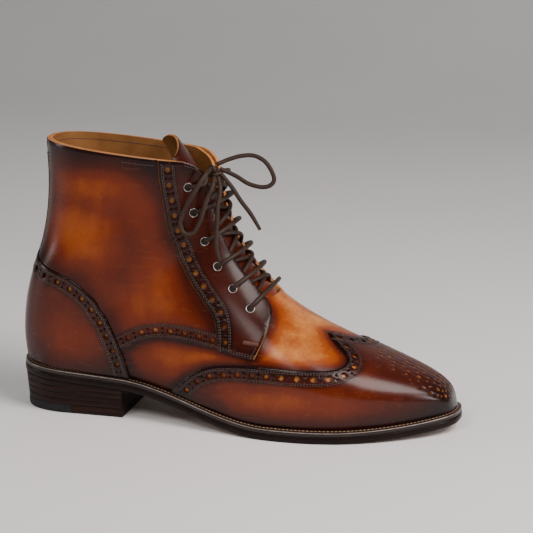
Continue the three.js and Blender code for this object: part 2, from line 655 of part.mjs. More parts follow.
function overlays() {
  const pieces = [];
  const add = (name, colour, thickness, inside) => pieces.push(
    sheet(name, colour, FIT, FIT + thickness, inside, UPPER_STATIONS));
  add('toe_cap', MAHOGANY, LEATHER, inWing);
  for (const [side, word] of [[LATERAL, 'lateral'], [MEDIAL, 'medial']]) {
    const { facing, quarter } = quarterRegions(side);
    add(`quarter_${word}`, BROWN, LEATHER, quarter);
    add(`facing_${word}`, DARK_BROWN, FACING_LEATHER, facing);
  }
  add('counter', MAHOGANY, COUNTER_LEATHER, (station, share) => inCounter[sideOf(share)](station, share));
  add('back_strip', MAHOGANY, COUNTER_LEATHER, (station, share) => (station < HEEL_ROW ? -STRIP_WIDTH
    : Math.min(STRIP_WIDTH / 2 - backDistance(station, share),
      -inCounter[sideOf(share)](station, share) - SEAM)));
  return pieces;
}

// The tongue lies under the throat and leans back from it. Its top is cut away on the outer side.
const TONGUE_STATIONS = { foot: 10.2, bend: 18, top: 26.95 };
const LEAN_CURVE = 1.1;
function tongue() {
  const { foot, bend, top } = TONGUE_STATIONS;
  const lean = (station) => TONGUE_LEAN * clamp((station - bend) / (top - bend), 0, 1) ** LEAN_CURVE;
  const under = WALL + FIT;
  const ends = [foot, top].map((station) => unroll(station, 0)[0]);
  const inside = (station, share) => {
    const { girth } = sideCurve(station, sideOf(share), 0);
    const [along] = unroll(station, 0);
    const outer = share < 0;
    const rise = clamp((along - ends[0]) / (ends[1] - ends[0]), 0, 1);
    const width = lerp(TONGUE_HALF, outer ? TONGUE_TOP_OUT : TONGUE_TOP_IN, rise);
    const corner = outer ? 0 : clamp(1 - (ends[1] - along) / TONGUE_CORNER, 0, 1);
    const across = share * girth;
    return Math.min(width * Math.sqrt(1 - corner ** 2) - Math.abs(across), along - ends[0],
      ends[1] - along - TONGUE_SLOPE * (TONGUE_PEAK - across));
  };
  return sheet('tongue', DARK_BROWN, -under - TONGUE, -under, inside,
    STATIONS.filter((station) => station >= 10), lean);
}

// Eyelets lie on the facings, their axes square to the leather.
const EYELET_LIFT = FIT + FACING_LEATHER + FIT;
function eyeletFrame(station, share, lift) {
  const centre = surface(station, share, lift);
  const along = surface(station + 0.2, share, lift).sub(surface(station - 0.2, share, lift));
  const across = surface(station, share + 0.01, lift).sub(surface(station, share - 0.01, lift));
  const out = new THREE.Vector3().crossVectors(across, along).normalize();
  return { centre, out };
}

function eyelets() {
  const outline = [[EYELET_HOLE, 0], [EYELET_OUTER, 0], [EYELET_OUTER - EYELET_BEVEL, 1],
    [EYELET_HOLE + EYELET_BEVEL, 1], [EYELET_HOLE, 0]];
  const profile = outline.map(([across, up]) => new THREE.Vector2(across / 2, up * EYELET_HEIGHT));
  const up = new THREE.Vector3(0, 1, 0);
  return EYELETS.flatMap(([station, share], k) => [['lateral', LATERAL], ['medial', MEDIAL]].map(
    ([word, side]) => {
      const lathe = new THREE.LatheGeometry(profile, EYELET_SEGMENTS);
      const mesh = meshOf(`eyelet_${word}_${k + 1}`, NICKEL, lathe);
      const { centre, out } = eyeletFrame(station, side * share, EYELET_LIFT);
      mesh.position.copy(centre);
      mesh.quaternion.setFromUnitVectors(up, out);
      return mesh;
    }));
}

function tube(name, points, steps) {
  const path = new THREE.CatmullRomCurve3(points, false, 'centripetal');
  const outline = new THREE.Shape();
  outline.absarc(0, 0, LACE / 2, 0, 2 * Math.PI);
  const geometry = new THREE.ExtrudeGeometry(outline,
    { steps, curveSegments: 4, bevelEnabled: false, extrudePath: path });
  return meshOf(name, LACE_BROWN, geometry);
}

// A bar of lace from eyelet to eyelet, drawn straight across the throat, below each pair but the top.
const BAR_LIFT = EYELET_LIFT + EYELET_HEIGHT + FIT + LACE / 2;
const BAR_SAG = 1.2;
const BAR_STEPS = 8;
const EDGE_SHARE = 0.55;
const STRAND_RISE = 4;
const STRAND_STEPS = 10;
function laceBars() {
  return EYELETS.slice(1).map(([station, share], k) => {
    const places = [-share, -EDGE_SHARE * share, 0, EDGE_SHARE * share, share];
    const points = places.map((place) => surface(station, place, BAR_LIFT - (place === 0 ? BAR_SAG : 0)));
    return tube(`lace_bar_${k + 2}`, points, BAR_STEPS);
  });
}

// The bow, as points chosen by eye: x from the heel's back in % of LENGTH, y in % of BALL_WIDTH and
// z in % of COLLAR_HEIGHT.
const KNOT = [45.71, -14.9, 90.42];
const KNOT_RADIUS = 4.6;
const KNOT_SHAPE = [1, 0.9, 1.05];
const BOW = {
  lace_loop_front: [
    [46.43, -13.37, 92.89], [48.83, -9.62, 94.53], [51.46, -6.73, 95.68], [54.06, -4.81, 95.68],
    [56.49, -4.81, 93.68], [57.99, -5.29, 90.26], [58.57, -6.25, 87.63], [58.05, -7.21, 86],
    [56.49, -8.17, 85.05], [53.25, -9.13, 86], [50.32, -9.23, 88.63], [46.95, -11.35, 91.16],
  ],
  lace_loop_side: [
    [45.58, -19.52, 91.68], [45.26, -28.65, 90.63], [42.99, -34.62, 83.68], [40.78, -33.65, 77.05],
    [40.19, -34.23, 73.16], [41.04, -34.23, 70.21], [42.66, -33.08, 70], [43.83, -31.35, 72.84],
    [44.68, -29.42, 76.84], [45.39, -27.12, 81.58], [46.43, -24.04, 86.11], [46.23, -19.04, 88.95],
  ],
  lace_end_long: [
    [46.98, -16.44, 88.68], [47.86, -20.77, 84.74], [47.6, -24.42, 79.47], [47.66, -26.54, 74.21],
    [47.6, -27.88, 69.21], [47.92, -29.62, 64.21], [48.7, -30.77, 60.26],
  ],
  lace_end_short: [
    [47.34, -13.56, 89.63], [49.61, -12.12, 84.95], [51.56, -10.96, 80], [53.64, -9.23, 75.26],
    [55.65, -8.65, 69.79],
  ],
};
const STRAND_ENDS = { lateral: [44.55, -19.52, 90.32], medial: [45.16, -10.1, 89.84] };
function bow() {
  const point = ([x, y, z]) => new THREE.Vector3(x * LENGTH, y * BALL_WIDTH, z * COLLAR_HEIGHT)
    .divideScalar(100);
  const pieces = Object.entries(BOW).map(([name, points]) => tube(name, points.map(point),
    points.length * 2));
  const [station, share] = EYELETS[0];
  for (const [word, side] of [['lateral', LATERAL], ['medial', MEDIAL]]) {
    const way = [1, 0.8, side < 0 ? 0.7 : EDGE_SHARE]
      .map((part) => surface(station, side * part * share, BAR_LIFT + (1 - part) * STRAND_RISE));
    pieces.push(tube(`lace_strand_${word}`, [...way, point(STRAND_ENDS[word])], STRAND_STEPS));
  }
  const knot = new THREE.SphereGeometry(KNOT_RADIUS, 10, 8);
  knot.scale(...KNOT_SHAPE);
  const mesh = meshOf('lace_knot', LACE_BROWN, knot);
  mesh.position.copy(point(KNOT));
  return [...pieces, mesh];
}

const boot = new THREE.Group();
boot.add(outsole(), welt(), insole(), ...heel(), upper(), ...overlays(), tongue(), ...eyelets(),
  ...laceBars(), ...bow());

// The origin is under the middle of the sole's outline.
const outlinePoints = soleRing({ grow: weltReach, height: flat(0) }).flat();
const footprint = new THREE.Box3().setFromPoints(outlinePoints);
const middle = footprint.getCenter(new THREE.Vector3());
boot.position.set(-middle.x, -middle.y, 0);

export default boot;
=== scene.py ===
# %% [markdown] This scene dresses a packed CAD model of a brogue boot. The boot's measures are in
# millimetres, because a shoemaker thinks in them, and become metres only when a mesh is made. The
# camera and the lights are in metres.

# %% The frame
import bpy
import json
import math
import numpy as np
import bmesh
from mathutils import Matrix, Vector
from mathutils.geometry import delaunay_2d_cdt

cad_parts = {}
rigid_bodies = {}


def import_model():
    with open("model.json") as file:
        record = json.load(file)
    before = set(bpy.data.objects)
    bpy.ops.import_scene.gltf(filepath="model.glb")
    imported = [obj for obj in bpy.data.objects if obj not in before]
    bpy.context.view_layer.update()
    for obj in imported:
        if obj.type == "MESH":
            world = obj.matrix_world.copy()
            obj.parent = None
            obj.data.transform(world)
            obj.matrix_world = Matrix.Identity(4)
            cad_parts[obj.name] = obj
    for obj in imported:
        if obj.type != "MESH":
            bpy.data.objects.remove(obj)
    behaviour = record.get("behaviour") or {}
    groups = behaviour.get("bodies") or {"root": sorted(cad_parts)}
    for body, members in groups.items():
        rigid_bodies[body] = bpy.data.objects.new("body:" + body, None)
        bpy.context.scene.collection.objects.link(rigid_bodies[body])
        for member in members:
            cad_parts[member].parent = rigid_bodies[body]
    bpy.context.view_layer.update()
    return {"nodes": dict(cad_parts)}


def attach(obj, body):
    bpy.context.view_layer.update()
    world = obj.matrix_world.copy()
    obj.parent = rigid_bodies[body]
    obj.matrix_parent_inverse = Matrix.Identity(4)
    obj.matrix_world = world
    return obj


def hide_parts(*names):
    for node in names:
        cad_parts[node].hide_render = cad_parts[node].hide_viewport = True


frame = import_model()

MM = 0.001
SHIFT = np.array([-154.555, 2.376, 0.0])  # from the last's own frame, heel back at x = 0
LENGTH, COLLAR_HEIGHT, BALL_WIDTH = 308.0, 190.0, 104.0


def to_frame(points):
    return (np.asarray(points, float) + SHIFT) * MM


print("nodes:", len(frame["nodes"]))

# %% [markdown] The camera looks at the boot from its outer side, a little from the front and from
# above. It is a long lens at 1.3 m, so that the perspective is mild.

# %% Camera
AZIMUTH, ELEVATION, ROLL = (math.radians(a) for a in (14.0, 14.0, 0.22))
DISTANCE = 1.3
TARGET = Vector((0.01914, 0.00238, 0.1052))
FOCAL_PIXELS, PICTURE, SENSOR = 1923.0, 533, 36.0


def add_camera():
    data = bpy.data.cameras.new("camera")
    data.sensor_width = SENSOR
    data.lens = FOCAL_PIXELS / PICTURE * SENSOR
    data.clip_start, data.clip_end = 0.05, 20
    camera = bpy.data.objects.new("camera", data)
    bpy.context.collection.objects.link(camera)
    away = Vector((math.sin(AZIMUTH) * math.cos(ELEVATION),
                   -math.cos(AZIMUTH) * math.cos(ELEVATION), math.sin(ELEVATION)))
    camera.location = TARGET + away * DISTANCE
    turn = (-away).to_track_quat('-Z', 'Y').to_matrix()
    roll = Vector((0, 0, 1))
    camera.rotation_euler = (turn @ Matrix.Rotation(ROLL, 3, roll)).to_euler()
    bpy.context.scene.camera = camera
    print(f"camera: {data.lens:.0f} mm lens at {DISTANCE} m")


add_camera()

# %% [markdown]
# Every curve here is drawn through a few given points. A centripetal Catmull-Rom spline passes
# through them all without loops or overshoot, in two dimensions or three.

# %% Smooth lines
def spline(points, steps=8):
    points = np.asarray(points, float)
    if len(points) == 2:
        return np.linspace(points[0], points[1], steps + 1)
    full = np.vstack([2 * points[0] - points[1], points, 2 * points[-1] - points[-2]])
    out = []
    for k in range(1, len(full) - 2):
        a, b, c, d = full[k - 1:k + 3]
        knots = [0.0]
        for p, q in ((a, b), (b, c), (c, d)):
            knots.append(knots[-1] + max(np.linalg.norm(q - p), 1e-9) ** 0.5)
        t0, t1, t2, t3 = knots
        for t in np.linspace(t1, t2, steps, endpoint=False):
            a1 = (t1 - t) / (t1 - t0) * a + (t - t0) / (t1 - t0) * b
            a2 = (t2 - t) / (t2 - t1) * b + (t - t1) / (t2 - t1) * c
            a3 = (t3 - t) / (t3 - t2) * c + (t - t2) / (t3 - t2) * d
            b1 = (t2 - t) / (t2 - t0) * a1 + (t - t0) / (t2 - t0) * a2
            b2 = (t3 - t) / (t3 - t1) * a2 + (t - t1) / (t3 - t1) * a3
            out.append((t2 - t) / (t2 - t1) * b1 + (t - t1) / (t2 - t1) * b2)
    return np.array(out + [points[-1]])


def even(points, gap, *others):
    """The points again, an even gap apart, with other columns carried along."""
    points = np.asarray(points, float)
    run = np.r_[0, np.cumsum(np.linalg.norm(np.diff(points, axis=0), axis=1))]
    count = max(2, int(round(run[-1] / gap)) + 1)
    goal = np.linspace(0, run[-1], count)
    pick = lambda rows: np.stack([np.interp(goal, run, row) for row in np.asarray(rows, float).T], 1)
    return (pick(points), *[pick(rows) for rows in others]) if others else pick(points)


def length_of(points):
    return float(np.linalg.norm(np.diff(points, axis=0), axis=1).sum())


print("length of a curve through three points:", round(length_of(spline([(0, 0), (1, 1), (2, 0)])), 3))

# %% [markdown]
# A mesh is made from points and faces. One helper does it for all pieces: it names the object, gives
# each face its finish, shades it smooth and keeps the edges sharp where two kinds of face meet.

# %% Meshes
def unit(vectors):
    vectors = np.asarray(vectors, float)
    return vectors / np.maximum(np.linalg.norm(vectors, axis=-1, keepdims=True), 1e-12)


def make_mesh(name, points, faces, kinds=None, materials=(), attributes=None, sharp_angle=None):
    mesh = bpy.data.meshes.new(name)
    mesh.from_pydata([tuple(p) for p in to_frame(points)], [], [tuple(map(int, f)) for f in faces])
    for material in materials:
        mesh.materials.append(material)
    if kinds is not None:
        mesh.polygons.foreach_set("material_index", np.asarray(kinds, np.int32))
    mesh.polygons.foreach_set("use_smooth", np.ones(len(mesh.polygons), bool))
    for key, values in (attributes or {}).items():
        layer = mesh.attributes.new(key, 'FLOAT', 'POINT')
        layer.data.foreach_set("value", np.asarray(values, np.float32))
    mesh.update()
    if sharp_angle:
        mesh.set_sharp_from_angle(angle=math.radians(sharp_angle))
    piece = bpy.data.objects.new(name, mesh)
    bpy.context.collection.objects.link(piece)
    return piece


def finish_piece(piece, slot, *nodes):
    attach(piece, "root")
    if nodes:
        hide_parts(*nodes)
    print(f"{piece.name}: {len(piece.data.polygons)} faces")


print("mesh helpers ready")

# %% [markdown]
# Materials are written as expressions. A small class wraps a socket, so that adding or multiplying
# two of them makes the Math node, and one method makes every other kind of node.

# %% Shader words
class Value:
    """A socket that carries a number, with the usual signs for sums."""

    def __init__(self, shader, socket):
        self.shader, self.socket = shader, socket

    def _math(self, operation, a, b=None, clamp=False):
        values = [a] if b is None else [a, b]
        return self.shader.node('ShaderNodeMath', {'operation': operation, 'use_clamp': clamp},
                                dict(enumerate(values)))

    def __add__(self, other): return self._math('ADD', self, other)
    def __radd__(self, other): return self._math('ADD', other, self)
    def __sub__(self, other): return self._math('SUBTRACT', self, other)
    def __rsub__(self, other): return self._math('SUBTRACT', other, self)
    def __mul__(self, other): return self._math('MULTIPLY', self, other)
    def __rmul__(self, other): return self._math('MULTIPLY', other, self)
    def clamp(self): return self._math('ADD', self, 0.0, True)
    def sin(self): return self._math('SINE', self)


class Shader:
    """A material under construction."""

    def __init__(self, name):
        self.material = bpy.data.materials.new(name)
        self.material.use_nodes = True
        self.tree = self.material.node_tree
        self.tree.nodes.clear()
        self.surface = self.tree.nodes.new('ShaderNodeBsdfPrincipled')
        output = self.tree.nodes.new('ShaderNodeOutputMaterial')
        self.tree.links.new(self.surface.outputs[0], output.inputs[0])

    def plug(self, socket, value):
        if isinstance(value, Value):
            self.tree.links.new(value.socket, socket)
        else:
            socket.default_value = value

    def node(self, kind, settings=None, inputs=None, output=0):
        made = self.tree.nodes.new(kind)
        for key, value in (settings or {}).items():
            if key == 'stops':
                ramp = made.color_ramp
                while len(ramp.elements) < len(value):
                    ramp.elements.new(0.5)
                for element, (place, colour) in zip(ramp.elements, value):
                    element.position = place
                    element.color = (*colour, 1.0)
            else:
                setattr(made, key, value)
        for key, value in (inputs or {}).items():
            self.plug(made.inputs[key], value)
        return Value(self, made.outputs[output])

    def coords(self):
        return self.node('ShaderNodeTexCoord', output='Object')

    def attribute(self, name):
        return self.node('ShaderNodeAttribute', {'attribute_name': name}, output='Fac')

    def noise(self, scale, detail=3.0, rough=0.5, stretch=None, distortion=0.0):
        place = self.coords()
        if stretch:
            place = self.node('ShaderNodeMapping', None, {'Vector': place, 'Scale': stretch})
        return self.node('ShaderNodeTexNoise', None, {
            'Vector': place, 'Scale': scale, 'Detail': detail, 'Roughness': rough,
            'Distortion': distortion})

    def cells(self, scale):
        return self.node('ShaderNodeTexVoronoi', {'feature': 'DISTANCE_TO_EDGE'},
                         {'Vector': self.coords(), 'Scale': scale})

    def ramp(self, value, stops):
        return self.node('ShaderNodeValToRGB', {'stops': stops}, {'Fac': value})

    def mix(self, factor, a, b):
        return self.node('ShaderNodeMix', {'data_type': 'RGBA'}, {0: factor, 6: a, 7: b}, output=2)

    def bump(self, height, distance, strength):
        return self.node('ShaderNodeBump', None,
                         {'Height': height, 'Distance': distance, 'Strength': strength})

    def set(self, **values):
        for key, value in values.items():
            self.plug(self.surface.inputs[key.replace('_', ' ')], value)
        return self.material


print("shader words:", [word for word in vars(Shader) if not word.startswith('_')])

# %% [markdown]
# The lace is a round waxed cord, 3 mm thick, braided from a few strands. It goes straight across the
# throat from eyelet to eyelet, crosses back under the leather, and ends in a bow. Each length of it is
# a tube swept along its path. The braid is a relief in the material, from the angle round the tube and
# the distance along it.

# %% Lace
LACE, AROUND, STEP = 3.0, 14, 0.8
STRANDS, BRAID_TURN = 4, 2.6  # strands each way, and the radians that they wind in a millimetre
TIP_BULGE, TAPER_LENGTH = 0.4, 12.0
ASKEW = (0.13, 0.97, 0.21)  # a direction that no part of the lace starts in


def cord_material():
    s = Shader("waxed lace")
    wind_s, wind_c = s.attribute("wind_s"), s.attribute("wind_c")
    turn = s.attribute("along") * BRAID_TURN
    cos_turn = (turn + math.pi / 2).sin()
    one = wind_s * cos_turn + wind_c * turn.sin()
    two = wind_s * cos_turn - wind_c * turn.sin()
    braid = one * one + two * two
    wax = s.noise(500, 3, 0.6)
    colour = s.ramp((braid * 0.28 + wax * 0.5).clamp(),
                    [(0.15, (0.010, 0.005, 0.003)), (0.6, (0.046, 0.022, 0.013)),
                     (0.95, (0.11, 0.060, 0.038))])
    return s.set(Base_Color=colour, Roughness=(0.42 + wax * 0.25).clamp(),
                 Normal=s.bump(braid + wax * 0.6, 0.00014, 0.7), Coat_Weight=0.08, Coat_Roughness=0.35,
                 Specular_IOR_Level=0.25)


MATERIAL = {'lace': cord_material()}


def tube(name, path, taper=0.0):
    """The lace along a path. An end that is given a taper gets thinner by that share."""
    path = even(path, STEP)
    tangent = unit(np.gradient(path, axis=0))
    side = unit(np.cross(tangent[0], ASKEW))
    angle = np.linspace(0, 2 * math.pi, AROUND, endpoint=False)
    points, wind_s, wind_c, along = [], [], [], []
    for k, (place, ahead) in enumerate(zip(path, tangent)):
        side = unit(side - ahead * (side @ ahead))
        other = np.cross(ahead, side)
        r = LACE / 2 * (1 - taper * (1 - min(1, (len(path) - 1 - k) * STEP / TAPER_LENGTH)))
        points += list(place + r * (np.cos(angle)[:, None] * side + np.sin(angle)[:, None] * other))
        wind_s += list(np.sin(STRANDS * angle))
        wind_c += list(np.cos(STRANDS * angle))
        along += [k * STEP] * AROUND
    faces = [(k * AROUND + j, k * AROUND + (j + 1) % AROUND, (k + 1) * AROUND + (j + 1) % AROUND,
              (k + 1) * AROUND + j) for k in range(len(path) - 1) for j in range(AROUND)]
    for row, place in ((0, path[0]), (len(path) - 1, path[-1])):
        tip = len(points)
        points.append(place + tangent[row] * (TIP_BULGE if row else -TIP_BULGE))
        wind_s.append(0), wind_c.append(0), along.append(row * STEP)
        for j in range(AROUND):
            a, b = row * AROUND + j, row * AROUND + (j + 1) % AROUND
            faces.append((tip, a, b) if row else (tip, b, a))
    return make_mesh(name, points, faces, None, [MATERIAL['lace']],
                     {'wind_s': wind_s, 'wind_c': wind_c, 'along': along})


# x from the heel's back in % of the length, y in % of the ball's width, z in % of the collar's height
BOW = {
    'lace_loop_front': [(46.43, -13.37, 92.89), (48.83, -9.62, 94.53), (51.46, -6.73, 95.68),
                        (54.06, -4.81, 95.68), (56.49, -4.81, 93.68), (57.99, -5.29, 90.26),
                        (58.57, -6.25, 87.63), (58.05, -7.21, 86), (56.49, -8.17, 85.05),
                        (53.25, -9.13, 86), (50.32, -9.23, 88.63), (46.95, -11.35, 91.16)],
    'lace_loop_side': [(45.58, -19.52, 91.68), (45.26, -28.65, 90.63), (42.99, -34.62, 83.68),
                       (40.78, -33.65, 77.05), (40.19, -34.23, 73.16), (41.04, -34.23, 70.21),
                       (42.66, -33.08, 70), (43.83, -31.35, 72.84), (44.68, -29.42, 76.84),
                       (45.39, -27.12, 81.58), (46.43, -24.04, 86.11), (46.23, -19.04, 88.95)],
    'lace_end_long': [(46.98, -16.44, 88.68), (47.86, -20.77, 84.74), (47.6, -24.42, 79.47),
                      (47.66, -26.54, 74.21), (47.6, -27.88, 69.21), (47.92, -29.62, 64.21),
                      (48.7, -30.77, 60.26)],
    'lace_end_short': [(47.34, -13.56, 89.63), (49.61, -12.12, 84.95), (51.56, -10.96, 80),
                       (53.64, -9.23, 75.26), (55.65, -8.65, 69.79)],
}
STRAND_ENDS = {'lateral': (44.55, -19.52, 90.32), 'medial': (45.16, -10.1, 89.84)}
WHOLE = np.array([LENGTH, BALL_WIDTH, COLLAR_HEIGHT]) / 100
KNOT = np.array((45.71, -14.9, 90.42)) * WHOLE
for name, points in BOW.items():
    path = even(spline(points * WHOLE, 12), 2.0)
    end = name.startswith('lace_end')
    piece = tube(name + '_cord', path, taper=0.25 if end else 0)
    finish_piece(piece, 'lace', name)
    print(f"{name}: {length_of(path):.1f} mm")

# %% [markdown]
# The same value also carries painted light in a few places: highlights on the vamp and the facings, and light
# under the holes.
# Burnished calf is dyed and polished by hand: it glows orange in the middle of each panel and goes to
# a near black mahogany at its seams. Each panel carries this as a painted value for every point,
# called patina, and the shader turns it into colour, so that the shading follows the cut of the boot.
# A thin clear coat stands for the wax polish, and a fine grain and hair-thin scratches break it up.

# %% Leathers
# The pale tan top stop is partly painted highlight: the vamp's painted highlight and the painted light under
# the holes reach it.
CALF = [(0.0, (0.004, 0.0011, 0.0009)), (0.22, (0.018, 0.0028, 0.0016)),
        (0.45, (0.052, 0.0060, 0.0016)), (0.70, (0.145, 0.0175, 0.0018)),
        (0.88, (0.310, 0.062, 0.0050)), (1.0, (0.620, 0.235, 0.055))]
BAND_WIDTH = 12.0
BAND_LINES = [(0.0, .6), (.085, .45), (.167, 1), (.26, .4), (.45, .25), (.64, .35), (.75, 1), (.87, .3),
              (1, 0)]
MOTTLING, FIBRES = 0.16, 1300


def calf(name, rough=0.28, coat=0.22):
    s = Shader(name)
    broad = s.noise(17, 2, 0.5)
    clouds = s.noise(38, 4, 0.55)
    streaks = s.noise(70, 3, 0.6, stretch=(1.0, 1.0, 0.35), distortion=0.6)
    fine = s.noise(420, 2, 0.5)
    # Both stitch rows of a band pull the leather down, and the polish stays dark in them.
    rows = s.ramp(s.attribute("band") * (1 / BAND_WIDTH), [(place, (v, v, v)) for place, v in BAND_LINES])
    tone = (s.attribute("patina") + (broad - 0.5) * 0.22 + (clouds - 0.5) * MOTTLING * 1.6
            + (streaks - 0.5) * MOTTLING + (fine - 0.5) * 0.06 - rows * 0.30).clamp()
    scratches = s.noise(160, 2, 0.4, stretch=(0.25, 1.0, 2.2), distortion=1.5)
    thin = s.ramp(scratches, [(0.0, (0, 0, 0)), (0.66, (0, 0, 0)), (0.70, (1, 1, 1)), (0.74, (0, 0, 0))])
    colour = s.mix(thin * 0.08, s.ramp(tone, CALF), (0.45, 0.17, 0.06, 1))
    height = s.cells(1500) * 0.5 + s.noise(900, 3, 0.6) * 0.5 + s.noise(60, 2, 0.5) * 2.0 - rows * 3.0
    return s.set(Base_Color=colour, Roughness=(rough + (clouds - 0.5) * 0.16 + thin * 0.1).clamp(),
                 Normal=s.bump(height, 0.00009, 0.6), Coat_Weight=coat, Coat_Roughness=0.2, Coat_IOR=1.45,
                 Specular_IOR_Level=0.16)


def plain_leather(name, dark, light, rough=0.6, coat=0.0, scale=60, shine=0.25):
    s = Shader(name)
    clouds = s.noise(scale, 4, 0.6)
    fibres = s.noise(FIBRES, 3, 0.65)
    colour = s.ramp((clouds * 0.75 + fibres * 0.25).clamp(), [(0.3, dark), (0.7, light)])
    return s.set(Base_Color=colour, Roughness=(rough + (fibres - 0.5) * 0.2).clamp(),
                 Normal=s.bump(fibres + s.cells(FIBRES) * 0.5, 0.0001, 0.6), Coat_Weight=coat,
                 Coat_Roughness=0.2, Specular_IOR_Level=shine)


MATERIAL |= {
    'calf': calf("burnished calf"),
    'cap': calf("burnished toe calf", rough=0.26, coat=0.32),
    'lining': plain_leather("ochre lining", (0.15, 0.056, 0.013), (0.27, 0.115, 0.032), 0.72),
    'raw': plain_leather("tan cut edge", (0.34, 0.115, 0.030), (0.60, 0.26, 0.085), 0.55, scale=220),
    'dark': plain_leather("dyed cut edge", (0.008, 0.003, 0.003), (0.030, 0.010, 0.007), 0.45),
    'thread': plain_leather("waxed thread", (0.020, 0.009, 0.007), (0.130, 0.065, 0.050), 0.4, 0.2, 900),
    'tack': plain_leather("tack thread", (0.06, 0.022, 0.012), (0.20, 0.085, 0.050), 0.35, 0.3, 900),
    'welt thread': plain_leather("tan welt thread", (0.22, 0.12, 0.06), (0.46, 0.28, 0.16), 0.6, scale=900),
    'sole': plain_leather("dressed sole edge", (0.004, 0.002, 0.002), (0.014, 0.006, 0.004), 0.40, 0.08,
                          shine=0.10),
    'welt': plain_leather("dark welt", (0.006, 0.004, 0.003), (0.024, 0.012, 0.009), 0.40, 0.3),
    # The welt's edge finish is a painted highlight: a pale, glossy band on its bevel.
    'welt edge': plain_leather("welt edge painted highlight", (0.10, 0.075, 0.062), (0.24, 0.19, 0.16), 0.3, 0.3, 300),
    'tread': plain_leather("sole underside", (0.10, 0.05, 0.025), (0.22, 0.12, 0.06), 0.55, 0.1, scale=40),
}
print("materials:", len(MATERIAL))

# %% [markdown]
# A shoe is made over a last, and so is this one. The last is a table of sections that fan from the toe
# tip, over the instep, to the collar. Each row says where its section meets the ridge and the sole's
# edge or the back, how wide it is and how full. Two numbers then name any place on the leather: the
# station, which is the row, and the share, from 0 on the ridge to 1 at the sole's edge or the back,
# negative on the outer side.

# %% The last
HEEL_LENGTH, HEEL_BACK, HEEL_BREAST = 80.0, 25.0, 20.0
TREAD_START, TREAD_END, TOE_SPRING = 185.0, 222.0, 6.5
OUTSOLE, WELT, WELT_RISE = 5.0, 3.0, 1.5
LAST = np.array([  # topX, topZ, lowX, rise, ridge, out, in, edgeOut, edgeIn, belly, crown, tail
    [98.3, 9.2, 98.5, 0, 6.0, 0, 0, 0, 0, .50, 2.3, 2.6],
    [98.0, 10.6, 98.2, 0, 6.0, 7.6, 7.4, 7.0, 6.8, .50, 2.3, 2.6],
    [97.4, 13.6, 97.5, 0, 5.9, 12.6, 12.0, 11.6, 11.2, .52, 2.3, 2.6],
    [96.0, 16.2, 96.0, 0, 5.8, 17.6, 16.4, 16.4, 15.4, .55, 2.3, 2.6],
    [93.7, 18.6, 93.7, 0, 5.6, 23.2, 21.0, 21.8, 19.8, .58, 2.3, 2.6],
    [90.2, 21.2, 90.2, 0, 5.4, 30.2, 26.4, 28.6, 25.0, .60, 2.3, 2.6],
    [85.4, 24.2, 85.4, 0, 5.0, 38.0, 32.0, 36.2, 30.4, .62, 2.3, 2.6],
    [80.0, 27.6, 80.0, 0, 4.5, 44.6, 36.8, 42.6, 35.0, .63, 2.3, 2.6],
    [74.3, 31.4, 73.9, 0, 3.9, 49.4, 39.8, 47.4, 38.0, .64, 2.2, 2.6],
    [68.8, 35.5, 66.6, 0, 3.2, 51.2, 39.6, 49.4, 37.0, .62, 2.2, 2.6],
    [64.0, 40.2, 57.8, 0, 2.4, 49.0, 36.6, 47.2, 32.4, .58, 2.2, 2.6],
    [60.1, 44.9, 48.0, 0, 1.6, 43.2, 33.0, 41.0, 26.2, .54, 2.2, 2.8],
    [57.1, 49.6, 37.6, 0, 0.9, 37.6, 30.6, 34.4, 24.6, .50, 2.3, 3.0],
    [54.7, 54.5, 27.3, 0, 0.4, 34.0, 30.4, 29.6, 26.6, .47, 2.3, 3.0],
    [52.6, 59.0, 17.5, 0, 0, 32.3, 30.7, 28.4, 28.0, .45, 2.3, 3.0],
    [51.0, 63.2, 9.3, 0, 0, 31.6, 30.8, 27.2, 27.2, .44, 2.3, 3.0],
    [49.7, 67.4, 3.9, 0, 0, 31.2, 30.8, 17.8, 17.8, .44, 2.3, 3.0],
    [48.7, 71.3, 1.9, 0, 0, 31.2, 30.8, 0, 0, .44, 2.3, 3.0],
    [48.0, 75.1, 1.3, 12, 0, 31.2, 30.8, 0, 0, .44, 2.3, 3.0],
    [47.4, 78.5, 1.9, 26, 0, 31.0, 30.8, 0, 0, .45, 2.3, 2.9],
    [46.9, 81.9, 3.7, 41, 0, 30.8, 30.6, 0, 0, .46, 2.3, 2.8],
    [46.4, 85.3, 5.9, 54, 0, 30.6, 30.6, 0, 0, .47, 2.3, 2.6],
    [46.0, 88.3, 7.3, 68, 0, 30.8, 30.8, 0, 0, .48, 2.3, 2.5],
    [45.8, 91.0, 7.7, 84, 0, 31.2, 31.2, 0, 0, .49, 2.3, 2.4],
    [45.6, 93.6, 7.3, 100, 0, 31.6, 31.6, 0, 0, .50, 2.3, 2.4]])
NAMES = ['topX', 'topZ', 'lowX', 'rise', 'ridge', 'out', 'in', 'edgeOut', 'edgeIn', 'belly', 'crown',
         'tail']
HEEL_ROW, COLLAR_ROW = 17, len(LAST) - 1


def tread(x):
    x = np.asarray(x, float)
    slope = (HEEL_BREAST - HEEL_BACK) / HEEL_LENGTH
    run = TREAD_START - HEEL_LENGTH
    t = np.clip((x - HEEL_LENGTH) / run, 0, 1)
    waist = HEEL_BREAST * (1 - t * t * (3 - 2 * t)) + run * slope * (t ** 3 - 2 * t * t + t)
    spring = TOE_SPRING * np.clip((x - TREAD_END) / (LENGTH - TREAD_END), 0, 1.2) ** 2
    return np.where(x < HEEL_LENGTH, HEEL_BACK + slope * x, np.where(x < TREAD_START, waist, spring))


def seat(x):
    return tread(x) + OUTSOLE + WELT + WELT_RISE


def entry(name, row, low, high):
    column = NAMES.index(name)
    values = LAST[:, column]
    if row < low:
        inside = values[2 * low - row]
        return inside if name in ('topX', 'topZ', 'lowX') and low == 0 else 2 * values[low] - inside
    if row > high:
        inside = values[2 * high - row]
        return inside if name == 'lowX' and high == HEEL_ROW else 2 * values[high] - inside
    return values[row]


